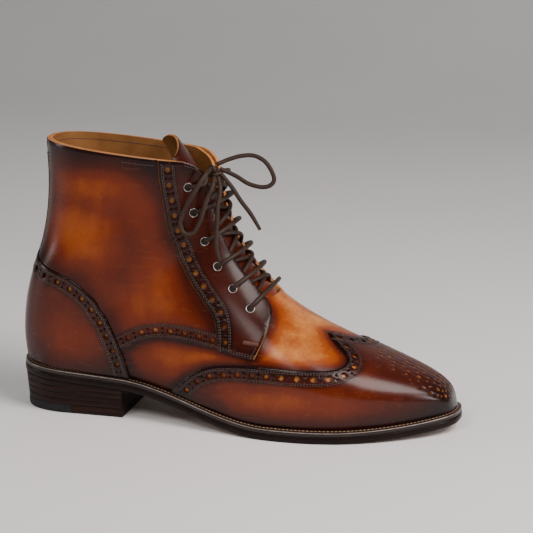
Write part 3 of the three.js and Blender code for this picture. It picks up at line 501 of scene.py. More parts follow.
def smooth(name, station):
    if station > COLLAR_ROW:
        end = smooth(name, COLLAR_ROW)
        return end + 2 * (station - COLLAR_ROW) * (end - smooth(name, COLLAR_ROW - 0.5))
    row = min(int(station), COLLAR_ROW - 1)
    t = station - row
    a, b, c, d = (entry(name, row + k, 0, COLLAR_ROW) for k in (-1, 0, 1, 2))
    return ((1 - t) ** 3 * a + (3 * t ** 3 - 6 * t * t + 4) * b
            + (-3 * t ** 3 + 3 * t * t + 3 * t + 1) * c + t ** 3 * d) / 6


def follow(name, station):
    low, high = (0, HEEL_ROW) if station <= HEEL_ROW else (HEEL_ROW, COLLAR_ROW)
    place = min(max(station, low), high)
    row = min(int(place), high - 1)
    t = place - row
    a, b, c, d = (entry(name, row + k, low, high) for k in (-1, 0, 1, 2))
    return .5 * (2 * b + (c - a) * t + (2 * a - 5 * b + 4 * c - d) * t * t + (3 * b - 3 * c + d - a) * t ** 3)


def bare_section(station):
    s = {'topX': smooth('topX', station) * LENGTH / 100,
         'topZ': smooth('topZ', station) * COLLAR_HEIGHT / 100,
         'lowX': follow('lowX', station) * LENGTH / 100}
    rise = max(0, follow('rise', station)) / 100 * (COLLAR_HEIGHT - float(seat(0)))
    s['lowZ'] = float(seat(s['lowX'])) + rise
    for name in ('ridge', 'out', 'in'):
        s[name] = smooth(name, station) * BALL_WIDTH / 100
    for name in ('edgeOut', 'edgeIn'):
        s[name] = 0.0 if station >= HEEL_ROW else max(0, follow(name, station)) * BALL_WIDTH / 100
    for name in ('belly', 'crown', 'tail'):
        s[name] = smooth(name, station)
    return s


def half_curve(s, side, count=48):
    half = max(s['out'] if side < 0 else s['in'], 1e-6)
    edge = min(half * 0.999, s['edgeOut'] if side < 0 else s['edgeIn'])
    full = 1 - (edge / half) ** s['tail']
    f = np.linspace(0, math.pi / 2, count + 1)
    near = np.stack([s['belly'] * (1 - np.abs(np.cos(f)) ** (2 / s['crown'])),
                     half * np.sin(f) ** (2 / s['crown'])], 1)
    near[-1, 0] = s['belly']
    drop = np.sin(np.linspace(0, math.asin(math.sqrt(full)), count + 1)[1:]) ** (2 / s['tail'])
    drop = drop / full ** (1 / s['tail'])
    far = np.stack([s['belly'] + (1 - s['belly']) * drop,
                    half * np.maximum(0, 1 - full * drop ** s['tail']) ** (1 / s['tail'])], 1)
    q, h = np.vstack([near, far]).T
    return np.stack([s['topX'] + (s['lowX'] - s['topX']) * q, s['ridge'] + side * h,
                     s['topZ'] + (s['lowZ'] - s['topZ']) * q], 1)


# %% [markdown]
# The surface is worked out once as a fine grid of points and normals. Any place between is then found
# by blending the four around it, so thousands of points cost almost nothing.

# %% The leather's surface
STATION_STEPS, SHARE_STEPS = 10, 72
LAST_STATION = 28


class Surface:
    """A grid of points, read at any chart point: (station, share)."""

    def __init__(self, points):
        self.points = points
        along = np.gradient(points, axis=0)
        across = np.gradient(points, axis=1)
        normal = unit(np.cross(across, along))
        normal[0] = unit(normal[1] + normal[1, ::-1])
        normal[0, :, 1] = 0
        heel = HEEL_ROW * STATION_STEPS
        both = unit(normal[heel:, 0] + normal[heel:, -1])
        both[:, 1] = 0
        normal[heel:, 0] = normal[heel:, -1] = unit(both)
        self.normals = unit(normal)
        self.girth = np.linalg.norm(np.diff(points, axis=1), axis=2)
        self.girth = np.stack([self.girth[:, :SHARE_STEPS].sum(1), self.girth[:, SHARE_STEPS:].sum(1)], 1)

    def _blend(self, table, chart):
        chart = np.atleast_2d(chart)
        i = np.clip(chart[:, 0] * STATION_STEPS, 0, table.shape[0] - 1.001)
        j = np.clip((chart[:, 1] + 1) * SHARE_STEPS, 0, table.shape[1] - 1.001)
        i0, j0 = i.astype(int), j.astype(int)
        a, b = (i - i0)[:, None], (j - j0)[:, None]
        return ((1 - a) * (1 - b) * table[i0, j0] + a * (1 - b) * table[i0 + 1, j0]
                + (1 - a) * b * table[i0, j0 + 1] + a * b * table[i0 + 1, j0 + 1])

    def normal(self, chart):
        return unit(self._blend(self.normals, chart))

    def place(self, chart, lift=0.0):
        lift = np.asarray(lift, float)
        lift = lift[:, None] if lift.ndim else lift
        return self._blend(self.points, chart) + self.normal(chart) * lift

    def girth_at(self, chart):
        chart = np.atleast_2d(chart)
        rows = np.arange(len(self.girth)) / STATION_STEPS
        left = np.interp(chart[:, 0], rows, self.girth[:, 0])
        right = np.interp(chart[:, 0], rows, self.girth[:, 1])
        return np.where(chart[:, 1] < 0, left, right)

    def step(self, chart, move):
        """Chart points after a small move in millimetres, given as vectors that lie in the surface."""
        chart = np.atleast_2d(np.asarray(chart, float))
        small = np.array([0.04, 0.008])
        ds = (self.place(chart + [small[0], 0]) - self.place(chart - [small[0], 0])) / (2 * small[0])
        low = np.maximum(chart[:, 0] - small[0], 0)
        ds *= (2 * small[0] / (chart[:, 0] + small[0] - low))[:, None]
        dv = (self.place(chart + [0, small[1]]) - self.place(chart - [0, small[1]])) / (2 * small[1])
        a, b, c = (ds * ds).sum(1), (ds * dv).sum(1), (dv * dv).sum(1)
        p, q = (ds * move).sum(1), (dv * move).sum(1)
        det = np.maximum(a * c - b * b, 1e-6)
        return chart + np.stack([(c * p - b * q) / det, (a * q - b * p) / det], 1)


def even_shares(curve):
    return even(curve, length_of(curve) / SHARE_STEPS)[:SHARE_STEPS + 1]


def build_surface(section):
    rows = []
    for k in range(LAST_STATION * STATION_STEPS + 1):
        s = section(k / STATION_STEPS)
        left, right = even_shares(half_curve(s, -1)), even_shares(half_curve(s, 1))
        rows.append(np.vstack([left[::-1], right[1:]]))
    return Surface(np.array(rows))


leather = build_surface(bare_section)
print("surface grid:", leather.points.shape)

# %% [markdown]
# A panel is cut as a pattern cutter does it: an outline on the chart, holes punched in it, and a
# thickness. The outline and the holes are triangulated together, so that every perforation is a real
# hole with a wall. The skin is then laid on the last at its own height and turned down a little at
# each cut edge and round each hole, as leather is where a knife or a punch goes through.

# %% Outlines and holes
EDGE_GAP = 1.1  # from point to point along a panel's edge
CHUNK = 2000  # points that are compared with others at a time
BULGE = 0.22


def bulge(chart):
    """Soft unevenness that every layer shares, so that they stay nested. It dies out at their ends."""
    s, v = chart[:, 0], chart[:, 1]
    soft = (np.sin(s * 1.9 + v * 3.1) * np.sin(v * 7.3 - s * 0.8)) * BULGE
    quiet = np.clip((np.abs(v) - 0.38) / 0.12, 0, 1) * np.clip((1 - np.abs(v)) / 0.1, 0, 1)
    quiet = quiet * np.clip((s - 11) / 2, 0, 1) * np.clip((COLLAR_ROW - s) / 2, 0, 1)
    return soft * quiet


def inside(chart, outline):
    x, y = chart[:, 0], chart[:, 1]
    result = np.zeros(len(chart), bool)
    for (x0, y0), (x1, y1) in zip(outline, np.roll(outline, -1, 0)):
        if x0 == x1:
            continue
        cross = (x0 > x) != (x1 > x)
        result ^= cross & (y < y0 + (y1 - y0) * (x - x0) / (x1 - x0))
    return result


def nearest(points, targets):
    out = np.empty(len(points))
    for start in range(0, len(points), CHUNK):
        part = points[start:start + CHUNK]
        out[start:start + CHUNK] = np.sqrt(((part[:, None] - targets[None]) ** 2).sum(2).min(1))
    return out


def on_side(points, side):
    return [(s, side * v) for s, v in points]


def run_line(points, gap=EDGE_GAP):
    """A smooth run of chart points, an even gap apart on the leather."""
    fine = spline(points, 10)
    chart = even(leather.place(fine), gap, fine)[1]
    for _ in range(3):  # The sections turn at the heel, and a line across that turn is eased.
        spots = leather.place(chart)
        eased = spots.copy()
        for _ in range(4):
            eased[1:-1] = eased[1:-1] / 2 + (eased[:-2] + eased[2:]) / 4
        moved = leather.step(chart, eased - spots)
        chart[1:-1] = moved[1:-1]
    return chart


def ring_around(spot, radius, count, surface):
    angle = np.linspace(0, 2 * math.pi, count, endpoint=False)
    normal = surface.normal(spot)[0]
    side = unit(np.cross(normal, [0.31, 0.2, 0.93]))
    other = np.cross(normal, side)
    move = radius * (np.cos(angle)[:, None] * side + np.sin(angle)[:, None] * other)
    return surface.step(np.repeat(np.atleast_2d(spot), count, 0), move)


def inward(line, loop, surface, distance):
    """The line moved into the loop that it bounds, by a distance on the leather."""
    tangent = unit(np.gradient(surface.place(line), axis=0))
    side = unit(np.cross(surface.normal(line), tangent))
    test = surface.step(line, side * 0.3)
    sign = 1.0 if inside(test, loop).mean() > 0.5 else -1.0
    return surface.step(surface.step(line, side * sign * distance / 2), side * sign * distance / 2)


print("outline tools ready")

# %% [markdown]
# One loop of a panel becomes triangles in three moves. Its edge and the rims of its holes are fixed
# lines. A second row of points follows each of them closely, so that the leather can bend down there.
# Staggered rows of points fill the rest.

# %% Panels
SPACING = 2.5  # from point to point
ROW_IN, RIM_ROW, HOLE_CLEAR = 0.5, 0.4, 0.5  # the second rows, and the free room past a hole's own
EDGE_FREE = 0.45  # of the spacing, left free of points along the outline
ON_RIM = 0.02  # what counts as lying on a rim
STATION_MM, SHARE_MM = 12.0, 115.0  # roughly what a station and a share measure on the leather


def fill_points(loop, surface, spacing, holes):
    """Staggered rows of points inside a loop, clear of its edge and its holes."""
    ends = np.linspace(loop[:, 0].min(), loop[:, 0].max(), 200)
    line = np.stack([ends, np.full(200, loop[:, 1].mean() or 0.5)], 1)
    rows = []
    for number, station in enumerate(even(surface.place(line), spacing, ends[:, None])[1][1:-1, 0]):
        girth = surface.girth_at([[station, -1], [station, 1]]).sum()
        count = max(4, int(girth / spacing))
        shares = np.linspace(-1, 1, count + 1)[:-1] + (number % 2) / count + 0.3 / count
        rows.append(np.stack([np.full(count, station), shares], 1))
    fill = np.vstack(rows)
    fill = fill[inside(fill, loop)]
    spots = surface.place(fill)
    keep = nearest(spots, surface.place(loop)) > spacing * EDGE_FREE
    if holes:
        centres = surface.place([spot for spot, _, _ in holes])
        reach = np.array([radius for _, radius, _ in holes]) + ROW_IN + HOLE_CLEAR
        for start in range(0, len(spots), CHUNK):
            gap = np.sqrt(((spots[start:start + CHUNK, None] - centres[None]) ** 2).sum(2)) - reach
            keep[start:start + CHUNK] &= gap.min(1) > 0
    return fill[keep]


def triangulate(runs, surface, spacing, holes, cut_points):
    """A loop's chart points, its triangles, and which points lie on the rim of a hole."""
    loop = np.vstack([line[:-1] for line, _ in runs])
    verts = [tuple(p) for p in loop]
    edges = [(k, (k + 1) % len(loop)) for k in range(len(loop))]
    for line, cut in runs:
        if cut:
            row = inward(line, loop, surface, ROW_IN)[1:-1]
            row = row[inside(row, loop)]
            row = row[nearest(surface.place(row), cut_points) > RIM_ROW]
            verts += [tuple(p) for p in row]
    holes = [hole for hole in holes if inside(np.atleast_2d(hole[0]), loop)[0]]
    rims = []
    for spot, radius, count in holes:
        rims.append(ring_around(spot, radius, count, surface))
        first = len(verts)
        verts += [tuple(p) for p in rims[-1]]
        edges += [(first + k, first + (k + 1) % count) for k in range(count)]
        verts += [tuple(p) for p in ring_around(spot, radius + RIM_ROW, count, surface)]
    verts += [tuple(p) for p in fill_points(loop, surface, spacing, holes)]
    plane = [Vector((v * SHARE_MM, s * STATION_MM)) for s, v in verts]
    flat, _, faces, *_ = delaunay_2d_cdt(plane, edges, [], 0, 1e-5)
    chart = np.array([(p[1] / STATION_MM, p[0] / SHARE_MM) for p in flat])
    faces = np.array([face for face in faces if len(face) == 3])
    centre = chart[faces].mean(1)
    keep = inside(centre, loop)
    for rim in rims:
        box = (np.abs(centre - rim.mean(0)) < np.ptp(rim, 0) + 1e-6).all(1)
        hit = np.where(box & keep)[0]
        keep[hit[inside(centre[hit], rim)]] = False
    on_rim = np.zeros(len(chart), bool)
    if rims:
        on_rim = nearest(surface.place(chart), surface.place(np.vstack(rims))) < ON_RIM
    return chart, faces[keep], on_rim


print("triangles of a panel are", SPACING, "mm wide")

# %% [markdown]
# The skin gets its thickness from the same triangles again underneath, and a wall along every open edge.
# Where an outline meets itself, at the toe tip and down the back, its points are joined first, so that
# no wall grows there.

# %% Thickness
EDGE_TURN, RIM_SINK = 0.35, 0.16  # how far a cut edge and a hole's rim are turned down
ON_EDGE = 0.05  # what counts as lying on a cut edge
TOOTH, TOOTH_DEPTH = 2.0, 0.45
DYED_REACH = 1.2 * TOOTH_DEPTH  # from the band's own line, past the tips of its teeth
NO_BAND = 60.0  # a distance past the width of every band
OUTSIDE, INSIDE, CUT_WALL, DYED_WALL = range(4)  # which finish of a panel a face takes


def weld(chart, faces, surface):
    """The points in use and the faces, joined where they meet at the toe tip and down the back."""
    known = {}
    spots = np.round(surface.place(chart), 3)
    join = (chart[:, 0] < 1e-4) | ((chart[:, 0] > HEEL_ROW - 1e-4) & (np.abs(chart[:, 1]) > 1 - 1e-4))
    index = np.arange(len(chart))
    for k in np.where(join)[0]:
        index[k] = known.setdefault(tuple(spots[k]), k)
    faces = index[faces]
    a, b, c = faces.T
    used, faces = np.unique(faces[(a != b) & (b != c) & (c != a)], return_inverse=True)
    return used, faces.reshape(-1, 3)


def cut_panel(name, loops, low, high, patina, materials, holes=(), surface=None, spacing=SPACING,
              band_edge=None, raw_holes=None):
    """loops: for each loop, in order round it, (chart line, is a cut edge). low, high: its two faces."""
    surface = surface or leather
    cut_points = np.vstack([surface.place(line) for runs in loops for line, cut in runs if cut])
    charts, skins, rims = [], [], []
    for runs in loops:
        chart, faces, on_rim = triangulate(runs, surface, spacing, holes, cut_points)
        skins.append(faces + sum(len(c) for c in charts))
        charts.append(chart), rims.append(on_rim)
    chart = np.vstack(charts)
    used, faces = weld(chart, np.vstack(skins), surface)
    chart, on_rim = chart[used], np.concatenate(rims)[used]
    bare, count = surface.place(chart), len(chart)
    edge_distance = nearest(bare, cut_points)
    top = high + bulge(chart) - EDGE_TURN * (edge_distance < ON_EDGE) - RIM_SINK * on_rim
    outer, inner = surface.place(chart, top), surface.place(chart, low + bulge(chart))
    in_band = np.full(count, NO_BAND) if band_edge is None else nearest(bare, band_edge)
    dyed = on_rim | (in_band < DYED_REACH)
    pale = on_rim & raw_holes(chart) if raw_holes else np.zeros(count, bool)
    # A wall stands wherever a triangle's side has no neighbour. Pale rims show the leather's own inside.
    directed = {(a, b) for f in faces for a, b in ((f[0], f[1]), (f[1], f[2]), (f[2], f[0]))}
    walls = sorted((b, a, a + count, b + count) for a, b in directed if (b, a) not in directed)
    wall_kinds = [INSIDE if pale[a] and pale[b] else DYED_WALL if dyed[a] and dyed[b] else CUT_WALL
                  for a, b, *_ in walls]
    all_faces = [*faces.tolist(), *(faces[:, ::-1] + count).tolist(), *walls]
    kinds = [OUTSIDE] * len(faces) + [INSIDE] * len(faces) + wall_kinds
    shade = patina(chart, edge_distance, bare)
    return make_mesh(name, np.vstack([outer, inner]), all_faces, kinds, materials,
                     {'patina': np.tile(shade, 2), 'band': np.tile(in_band, 2)}, sharp_angle=50)


print("panel tools ready")

# %% [markdown]
# The pattern is the set of lines that the panels share. Each is a few chart points, with the share
# given for the inner side of the foot, and used on both sides apart from the wing, whose peak lies a
# little off the ridge.

# %% The pattern
SEAM, STRIP_HALF, COLLAR = 0.4, 9.0, 24.0
COLLAR_GIRTH = 135  # mm for the whole share at the collar
BACK_CLEAR, LOOP_CLEAR = 0.985, 0.25  # a band ends at this share, and a loop of it comes this much nearer
WING_OUTER = [(11.96, -1.0), (11.92, -.91), (11.87, -.83), (11.68, -.75), (11.3, -.69), (10.85, -.647),
              (10.14, -.611), (9.36, -.595), (8.46, -.565), (8.04, -.538), (7.76, -.5), (7.62, -.46),
              (7.57, -.41), (7.62, -.36), (7.8, -.307), (8.1, -.25), (8.35, -.19), (8.6, -.12)]
WING_INNER = [(8.6, -.12), (8.3, -.085), (7.95, -.035), (7.65, .03), (7.47, .11), (7.42, .2), (7.5, .29),
              (7.7, .37), (8.04, .45), (8.5, .52), (9.36, .575), (10.14, .605), (10.85, .645), (11.3, .69),
              (11.68, .75), (11.87, .83), (11.92, .91), (11.96, 1.0)]
FRONT = [(24.0, .22), (23.75, .178), (23.4, .15), (22.88, .13), (22.1, .119), (20.27, .102), (17.29, .081),
         (15.16, .1), (13.9, .118), (12.98, .142), (11.89, .169), (11.26, .207), (10.91, .263),
         (10.7, .387), (10.64, .488), (10.64, .584)]
FOOT = [(10.64, .584), (11.2, .597), (11.75, .609)]
HEM = [(11.75, .609), (12.23, .622), (12.92, .641), (13.43, .662), (13.76, .709), (13.9, .79)]
FACING_BACK = [(11.75, .609), (12.1, .512), (12.24, .489), (12.47, .448), (12.8, .41), (13.25, .378),
               (13.94, .333), (14.7, .301), (15.75, .269), (17.22, .241), (18.57, .258), (19.7, .277),
               (20.82, .295), (21.96, .315), (22.96, .325), (24.0, .322)]
COUNTER = [(20.66, 1.0), (20.5, .94), (20.21, .884), (19.75, .8), (19.29, .72), (18.74, .657), (17.94, .6),
           (17.24, .571), (16.55, .592), (15.88, .624), (15.07, .673), (14.49, .727), (13.91, .802),
           (13.4, .894), (12.96, 1.0)]
THROAT = [(24.0, .25), (23.65, .195), (23.3, .167), (22.8, .147), (22.1, .134), (20.27, .117),
          (17.29, .096), (15.16, .116), (13.9, .135), (12.98, .158), (12.2, .178), (11.7, .17), (11.4, .12),
          (11.3, 0)]
EYELETS = [(21.84, .203), (19.57, .173), (16.99, .145), (14.71, .181), (13.09, .239), (11.81, .301)]
SIDES = {'lateral': -1, 'medial': 1}


def down(side, high, low):
    """Chart line on the back or the sole's edge, from one station to another, on shared stations."""
    a, b = min(high, low), max(high, low)
    stations = np.unique(np.r_[a, np.arange(math.ceil(a * 10 + 0.2), b * 10 - 0.2) / 10, b])
    line = np.stack([stations, np.full(len(stations), float(side))], 1)
    return line if low > high else line[::-1]


def across_toe(side):
    shares = np.linspace(-side, side, 13)
    return np.stack([np.zeros(13), shares], 1)


def collar(side, start, end):
    shares = np.linspace(start, end, max(2, int(abs(end - start) * 60)) + 1)
    return np.stack([np.full(len(shares), COLLAR), side * shares], 1)


def aside(line, distance):
    """The line moved sideways on the leather: to the left, seen from outside, for a positive distance."""
    side = unit(np.cross(leather.normal(line), unit(np.gradient(leather.place(line), axis=0))))
    half = leather.step(line, side * distance / 2)
    return leather.step(half, side * distance / 2)


def band(line, distance):
    """A line inside a band, without the loops that form where its edge turns sharply."""
    moved = aside(line, distance)
    gaps = nearest(leather.place(moved), leather.place(line))
    runs, run = [], []
    for point, gap in zip(moved, gaps):
        if gap > abs(distance) - LOOP_CLEAR and abs(point[1]) < BACK_CLEAR:
            run.append(point)
        elif run:
            runs.append(np.array(run))
            run = []
    runs += [np.array(run)] if run else []
    return [r for r in runs if len(r) > 4]


def strip_line(side, offset, low):
    stations = np.linspace(COLLAR, low, 26)
    chart = np.stack([stations, np.full(26, float(side))], 1)
    chart[:, 1] = side * (1 - offset / leather.girth_at(chart))
    return chart


LINES = {'wing outer': run_line(WING_OUTER), 'wing inner': run_line(WING_INNER)}
for word, side in SIDES.items():
    for name, table in (('front', FRONT), ('foot', FOOT), ('hem', HEM), ('facing', FACING_BACK),
                        ('counter', COUNTER), ('throat', THROAT)):
        LINES[name + ' ' + word] = run_line(on_side(table, side))
    LINES['strip ' + word] = strip_line(side, STRIP_HALF, 20.5)
    LINES['collar ' + word] = collar(side, .22, 1)
    LINES['feather ' + word] = down(side, HEEL_ROW, 0)
print("pattern lines:", len(LINES))

# %% [markdown]
# Broguing is a decoration of punched holes between two double rows of stitches. A large hole
# alternates with a pair of small ones along the middle of the band, and the band's cut edge is pinked,
# that is, nipped into fine teeth. The holes are cut in the panels themselves, and Geometry Nodes only
# sets the raised lip that the punch leaves round each.

# %% Broguing
BIG, SMALL, DOT, LARGE_DOT = 1.9, 0.66, 0.82, 1.35
CORNERS = {BIG: 14, SMALL: 7, DOT: 7, LARGE_DOT: 10}
PITCH, MIDDLE, PAIR_APART = 10.4, 5.4, 1.6
PARTS, LEFT_OVER = 8, 0.15  # steps from one large hole to the next, and how near a run's end one may be
HOLE_CLEAR_BACK = 0.975  # the share past which there are no holes
FRONT_ROW, FOOT_ROWS, STRIP_ROWS = 2.0, (1.5, 2.5), (1.6, 3.0)
RIM_CLEAR, RIM_STITCH = 0.30, 3.2  # stations free of stitches below the collar, and its seam's depth
ROWS = (1.5, 2.5, 8.5, 9.5)
CAP_TOP, QUARTER_TOP, FACING_TOP, COUNTER_TOP = 1.5, 1.5, 2.3, 2.1
SLOT = {'toe_cap': 'toe_cap', 'counter': 'counter', 'back_strip': 'counter'}
TOP = {'toe_cap': CAP_TOP, 'counter': COUNTER_TOP, 'back_strip': COUNTER_TOP}
for word in SIDES:
    SLOT |= {'quarter_' + word: 'quarters', 'facing_' + word: 'facings'}
    TOP |= {'quarter_' + word: QUARTER_TOP, 'facing_' + word: FACING_TOP}
holes, stitches = {}, {}


def pink(line, direction):
    line = even(leather.place(line), TOOTH / 2, line)[1]
    out = aside(line, direction * TOOTH_DEPTH)
    line[1:-1:2] = out[1:-1:2]
    return line


def add_hole(group, spot, radius):
    holes.setdefault(group, []).append((tuple(spot), radius, CORNERS[radius]))


def punch(group, line, direction, phase):
    for run in band(line, direction * MIDDLE):
        points, chart = even(leather.place(run), PITCH / PARTS, run)
        mark = phase
        while mark < (len(chart) - 1) / PARTS - LEFT_OVER:
            k, half = int(round(mark * PARTS)), int(round((mark + 0.5) * PARTS))
            if abs(chart[k, 1]) < HOLE_CLEAR_BACK:
                add_hole(group, chart[k], BIG)
            if half < len(chart) and abs(chart[half, 1]) < HOLE_CLEAR_BACK:
                ahead = unit(points[min(half + 1, len(points) - 1)] - points[half - 1])
                side = np.cross(leather.normal(chart[half])[0], ahead)
                for sign in (-1, 1):
                    add_hole(group, leather.step(chart[half], sign * PAIR_APART * side)[0], SMALL)
            mark += 1


def sew(group, line, *offsets):
    for offset in offsets:
        runs = [run[run[:, 0] < COLLAR - RIM_CLEAR] for run in band(line, offset)]
        stitches.setdefault(group, []).extend(run for run in runs if len(run) > 2)


def brogue(group, line, side, phase):
    punch(group, line, side, phase)
    sew(group, line, *(side * r for r in ROWS))


for name in ('wing outer', 'wing inner'):
    brogue('toe_cap', LINES[name], -1, 0.55)
for word, side in SIDES.items():
    brogue('counter', LINES['counter ' + word], side, 0.75)
    brogue('quarter_' + word, LINES['hem ' + word], side, 0.55)
    brogue('facing_' + word, LINES['facing ' + word], side, 0.55)
    sew('facing_' + word, LINES['front ' + word], side * FRONT_ROW)
    sew('facing_' + word, LINES['foot ' + word], *(side * r for r in FOOT_ROWS))
    sew('quarter_' + word, collar(side, .345, 1 - STRIP_HALF / COLLAR_GIRTH), -side * RIM_STITCH)
    sew('back_strip', LINES['strip ' + word], *(-side * r for r in STRIP_ROWS))
print("stitch rows:", {key: len(value) for key, value in stitches.items()})

# %% [markdown]
# The medallion is the figure of holes on the toe. Here it is nine arcs of dots, set a little unevenly,
# with a larger hole here and there.

# %% Medallion
ARCS = [(2.1, .42), (2.65, .52), (3.15, .57), (3.6, .58), (4.2, .56), (4.75, .50), (5.3, .42),
        (5.85, .32), (6.35, .20)]  # the station of each arc, and the share that it reaches
DOT_PITCH, ARC_DEPTH, UNEVEN, OFF_RIDGE = 4.3, 0.30, 0.10, 0.012
MEDALLION = (7.3, 0.66)  # the last station and the share that its dots reach
for row, (station, half) in enumerate(ARCS):
    girth = float(leather.girth_at([[station, -.5], [station, .5]]).mean())
    count = max(3, int(2 * half * girth / DOT_PITCH) | 1)
    for k, share in enumerate(np.linspace(-half, half, count)):
        spot = (station + ARC_DEPTH * math.cos(5.2 * share) + UNEVEN * math.sin(k * 2.4 + row),
                share - OFF_RIDGE)
        add_hole('toe_cap', spot, LARGE_DOT if (k + 2 * row) % 5 == 2 and row % 2 == 1 else DOT)
print("holes:", {key: len(value) for key, value in holes.items()})


def on_medallion(chart):
    return (chart[:, 0] < MEDALLION[0]) & (np.abs(chart[:, 1]) < MEDALLION[1])


# %% [markdown]
# Each panel has its own patina: a base tone, darker near seams and edges, with a few broad glows and
# shadows where the polish was rubbed thin or built up. They follow the photograph.
# The glows on the outer side of the vamp and of the facings are painted highlights, and the brightness under
# the holes is partly painted light.

# %% Patina
SEAM_POINTS = {name: leather.place(line) for name, line in LINES.items()}


def seams(*names):
    return np.vstack([p for name, p in SEAM_POINTS.items() if name.startswith(names)])


def fade(distance, reach):
    return np.exp(-(distance / reach) ** 1.3)


def tone(base, dark, glows=(), floor=0.04):
    """dark: (amount, reach in mm, line names...). glows: (centre, size, amount) in the last's frame."""
    def make(chart, edge_distance, points):
        value = np.full(len(points), float(base))
        for amount, reach, *names in dark:
            value -= amount * fade(nearest(points, seams(*names)), reach)
        for centre, size, amount in glows:
            gap = (points - np.array(centre)) / np.array(size)
            value += amount * np.exp(-(gap ** 2).sum(1))
        return np.clip(value, floor, 1.0)
    return make


PUNCHED = leather.place([spot for spots in holes.values() for spot, radius, _ in spots if radius > DOT])
GLOW_REACH, DOT_GLOW = 3.6, 0.95


def painted_hole_light(make):
    """The same patina, bright under the holes: partly unpolished leather, partly painted light."""
    def lit(chart, edge_distance, points):
        # Painted light: near the large holes and under the medallion, the leather is lifted almost to the top
        # stop.
        glow = np.exp(-(nearest(points, PUNCHED) / GLOW_REACH) ** 4)
        glow[on_medallion(chart)] = DOT_GLOW
        return np.maximum(make(chart, edge_distance, points), glow)
    return lit


PATINA_AND_PAINTED_LIGHT = {
    # The upper's light under the holes is partly painted, and its first glow, on the outer side of the vamp
    # only, is a painted highlight.
    'upper': painted_hole_light(tone(0.93, [(.62, 4, 'wing', 'front', 'foot', 'hem', 'counter'),
                                     (.45, 12, 'feather')],
                              [((205, -40, 45), (22, 22, 20), 0.06), ((240, 0, 50), (20, 30, 30), -0.10),
                               ((85, -35, 42), (40, 30, 26), -0.16), ((85, 35, 42), (40, 30, 26), -0.16)])),
    'toe_cap': tone(0.50, [(.30, 7, 'wing'), (.34, 10, 'feather')],
                    [((190, -46, 24), (52, 15, 14), 0.32), ((180, 44, 24), (40, 14, 13), 0.24),
                     ((300, 6, 20), (30, 40, 40), -0.24), ((262, 6, 48), (28, 22, 22), -0.06)]),
    'quarter': tone(0.80, [(.44, 11, 'hem', 'counter', 'facing'), (.46, 11, 'collar', 'strip')],
                    [((4, 0, 130), (24, 60, 90), -0.30), ((50, 0, 180), (60, 60, 17), -0.36),
                     ((84, -20, 122), (15, 60, 34), -0.24), ((43, 0, 148), (30, 60, 8), -0.14),
                     ((71, 0, 101), (22, 60, 10), -0.12), ((66, 0, 164), (20, 60, 9), 0.12),
                     ((50, 0, 124), (30, 60, 16), 0.07), ((80, 0, 86), (26, 60, 12), 0.06)]),
    'facing': tone(0.34, [(.18, 5, 'front', 'foot'), (.10, 5, 'facing'), (.12, 8, 'collar')],
                   # Both glows, on the outer facing only, are painted highlights.
                   [((152, -28, 96), (14, 14, 14), 0.08), ((176, -38, 64), (14, 14, 10), 0.14)]),
    'counter': tone(0.52, [(.28, 9, 'counter'), (.28, 10, 'feather')],
                    [((46, -34, 48), (20, 16, 20), 0.18), ((46, 34, 48), (20, 16, 20), 0.18),
                     ((0, 0, 50), (16, 40, 60), -0.24)]),
    'back_strip': tone(0.34, [(.16, 4, 'strip')]),
}
print("patinas:", list(PATINA_AND_PAINTED_LIGHT))

# %% [markdown]
# The upper's body comes first: vamp, shaft and lining in one shell, open at the collar, at the throat
# and under the foot. The overlays lie on it, a little proud, so that their cut edges cast a line of
# shadow, as they do on the real boot.

# %% Upper and overlays
WALL = 2.4
LOW = 0.1  # every overlay's underside
WING_END, COUNTER_FOOT, COUNTER_TIP = 11.96, 12.96, 20.66
STRIP_FOOT, STRIP_TIP = 20.62, 20.74


def skins(*names):
    """The finishes that the kinds of face take, in order. A panel has an outside, an inside and two edges."""
    return [MATERIAL[name] for name in names]


UPPER_SKINS = skins('calf', 'lining', 'raw', 'dark')
CAP_SKINS = skins('cap', 'raw', 'dark', 'dark')
TAN_SKINS = skins('calf', 'raw', 'raw', 'dark')

runs = [(collar(-1, .25, 1), True), (down(-1, COLLAR, HEEL_ROW), False), (down(-1, HEEL_ROW, 0), False),
        (across_toe(1), False), (down(1, 0, HEEL_ROW), False), (down(1, HEEL_ROW, COLLAR), False),
        (collar(1, .25, 1)[::-1], True), (LINES['throat medial'], True),
        (LINES['throat lateral'][::-1], True)]
upper = cut_panel('upper_body', [runs], -WALL, 0.0, PATINA_AND_PAINTED_LIGHT['upper'], UPPER_SKINS, spacing=2.6)
finish_piece(upper, 'upper', 'upper')

runs = [(pink(LINES['wing outer'], 1), True), (pink(LINES['wing inner'], 1), True),
        (down(1, WING_END, 0), False), (across_toe(-1), False), (down(-1, 0, WING_END), False)]
cap = cut_panel('wing_toe_cap', [runs], LOW, CAP_TOP, PATINA_AND_PAINTED_LIGHT['toe_cap'], CAP_SKINS, holes['toe_cap'],
                band_edge=seams('wing'), raw_holes=on_medallion)
finish_piece(cap, 'toe_cap', 'toe_cap')

loops = [[(pink(LINES['counter ' + word], -side), True), (down(side, COUNTER_FOOT, HEEL_ROW), False),
          (down(side, HEEL_ROW, COUNTER_TIP), False)] for word, side in SIDES.items()]
counter = cut_panel('heel_counter', loops, LOW, COUNTER_TOP, PATINA_AND_PAINTED_LIGHT['counter'], CAP_SKINS,
                    holes['counter'], band_edge=seams('counter'))
finish_piece(counter, 'counter', 'counter')

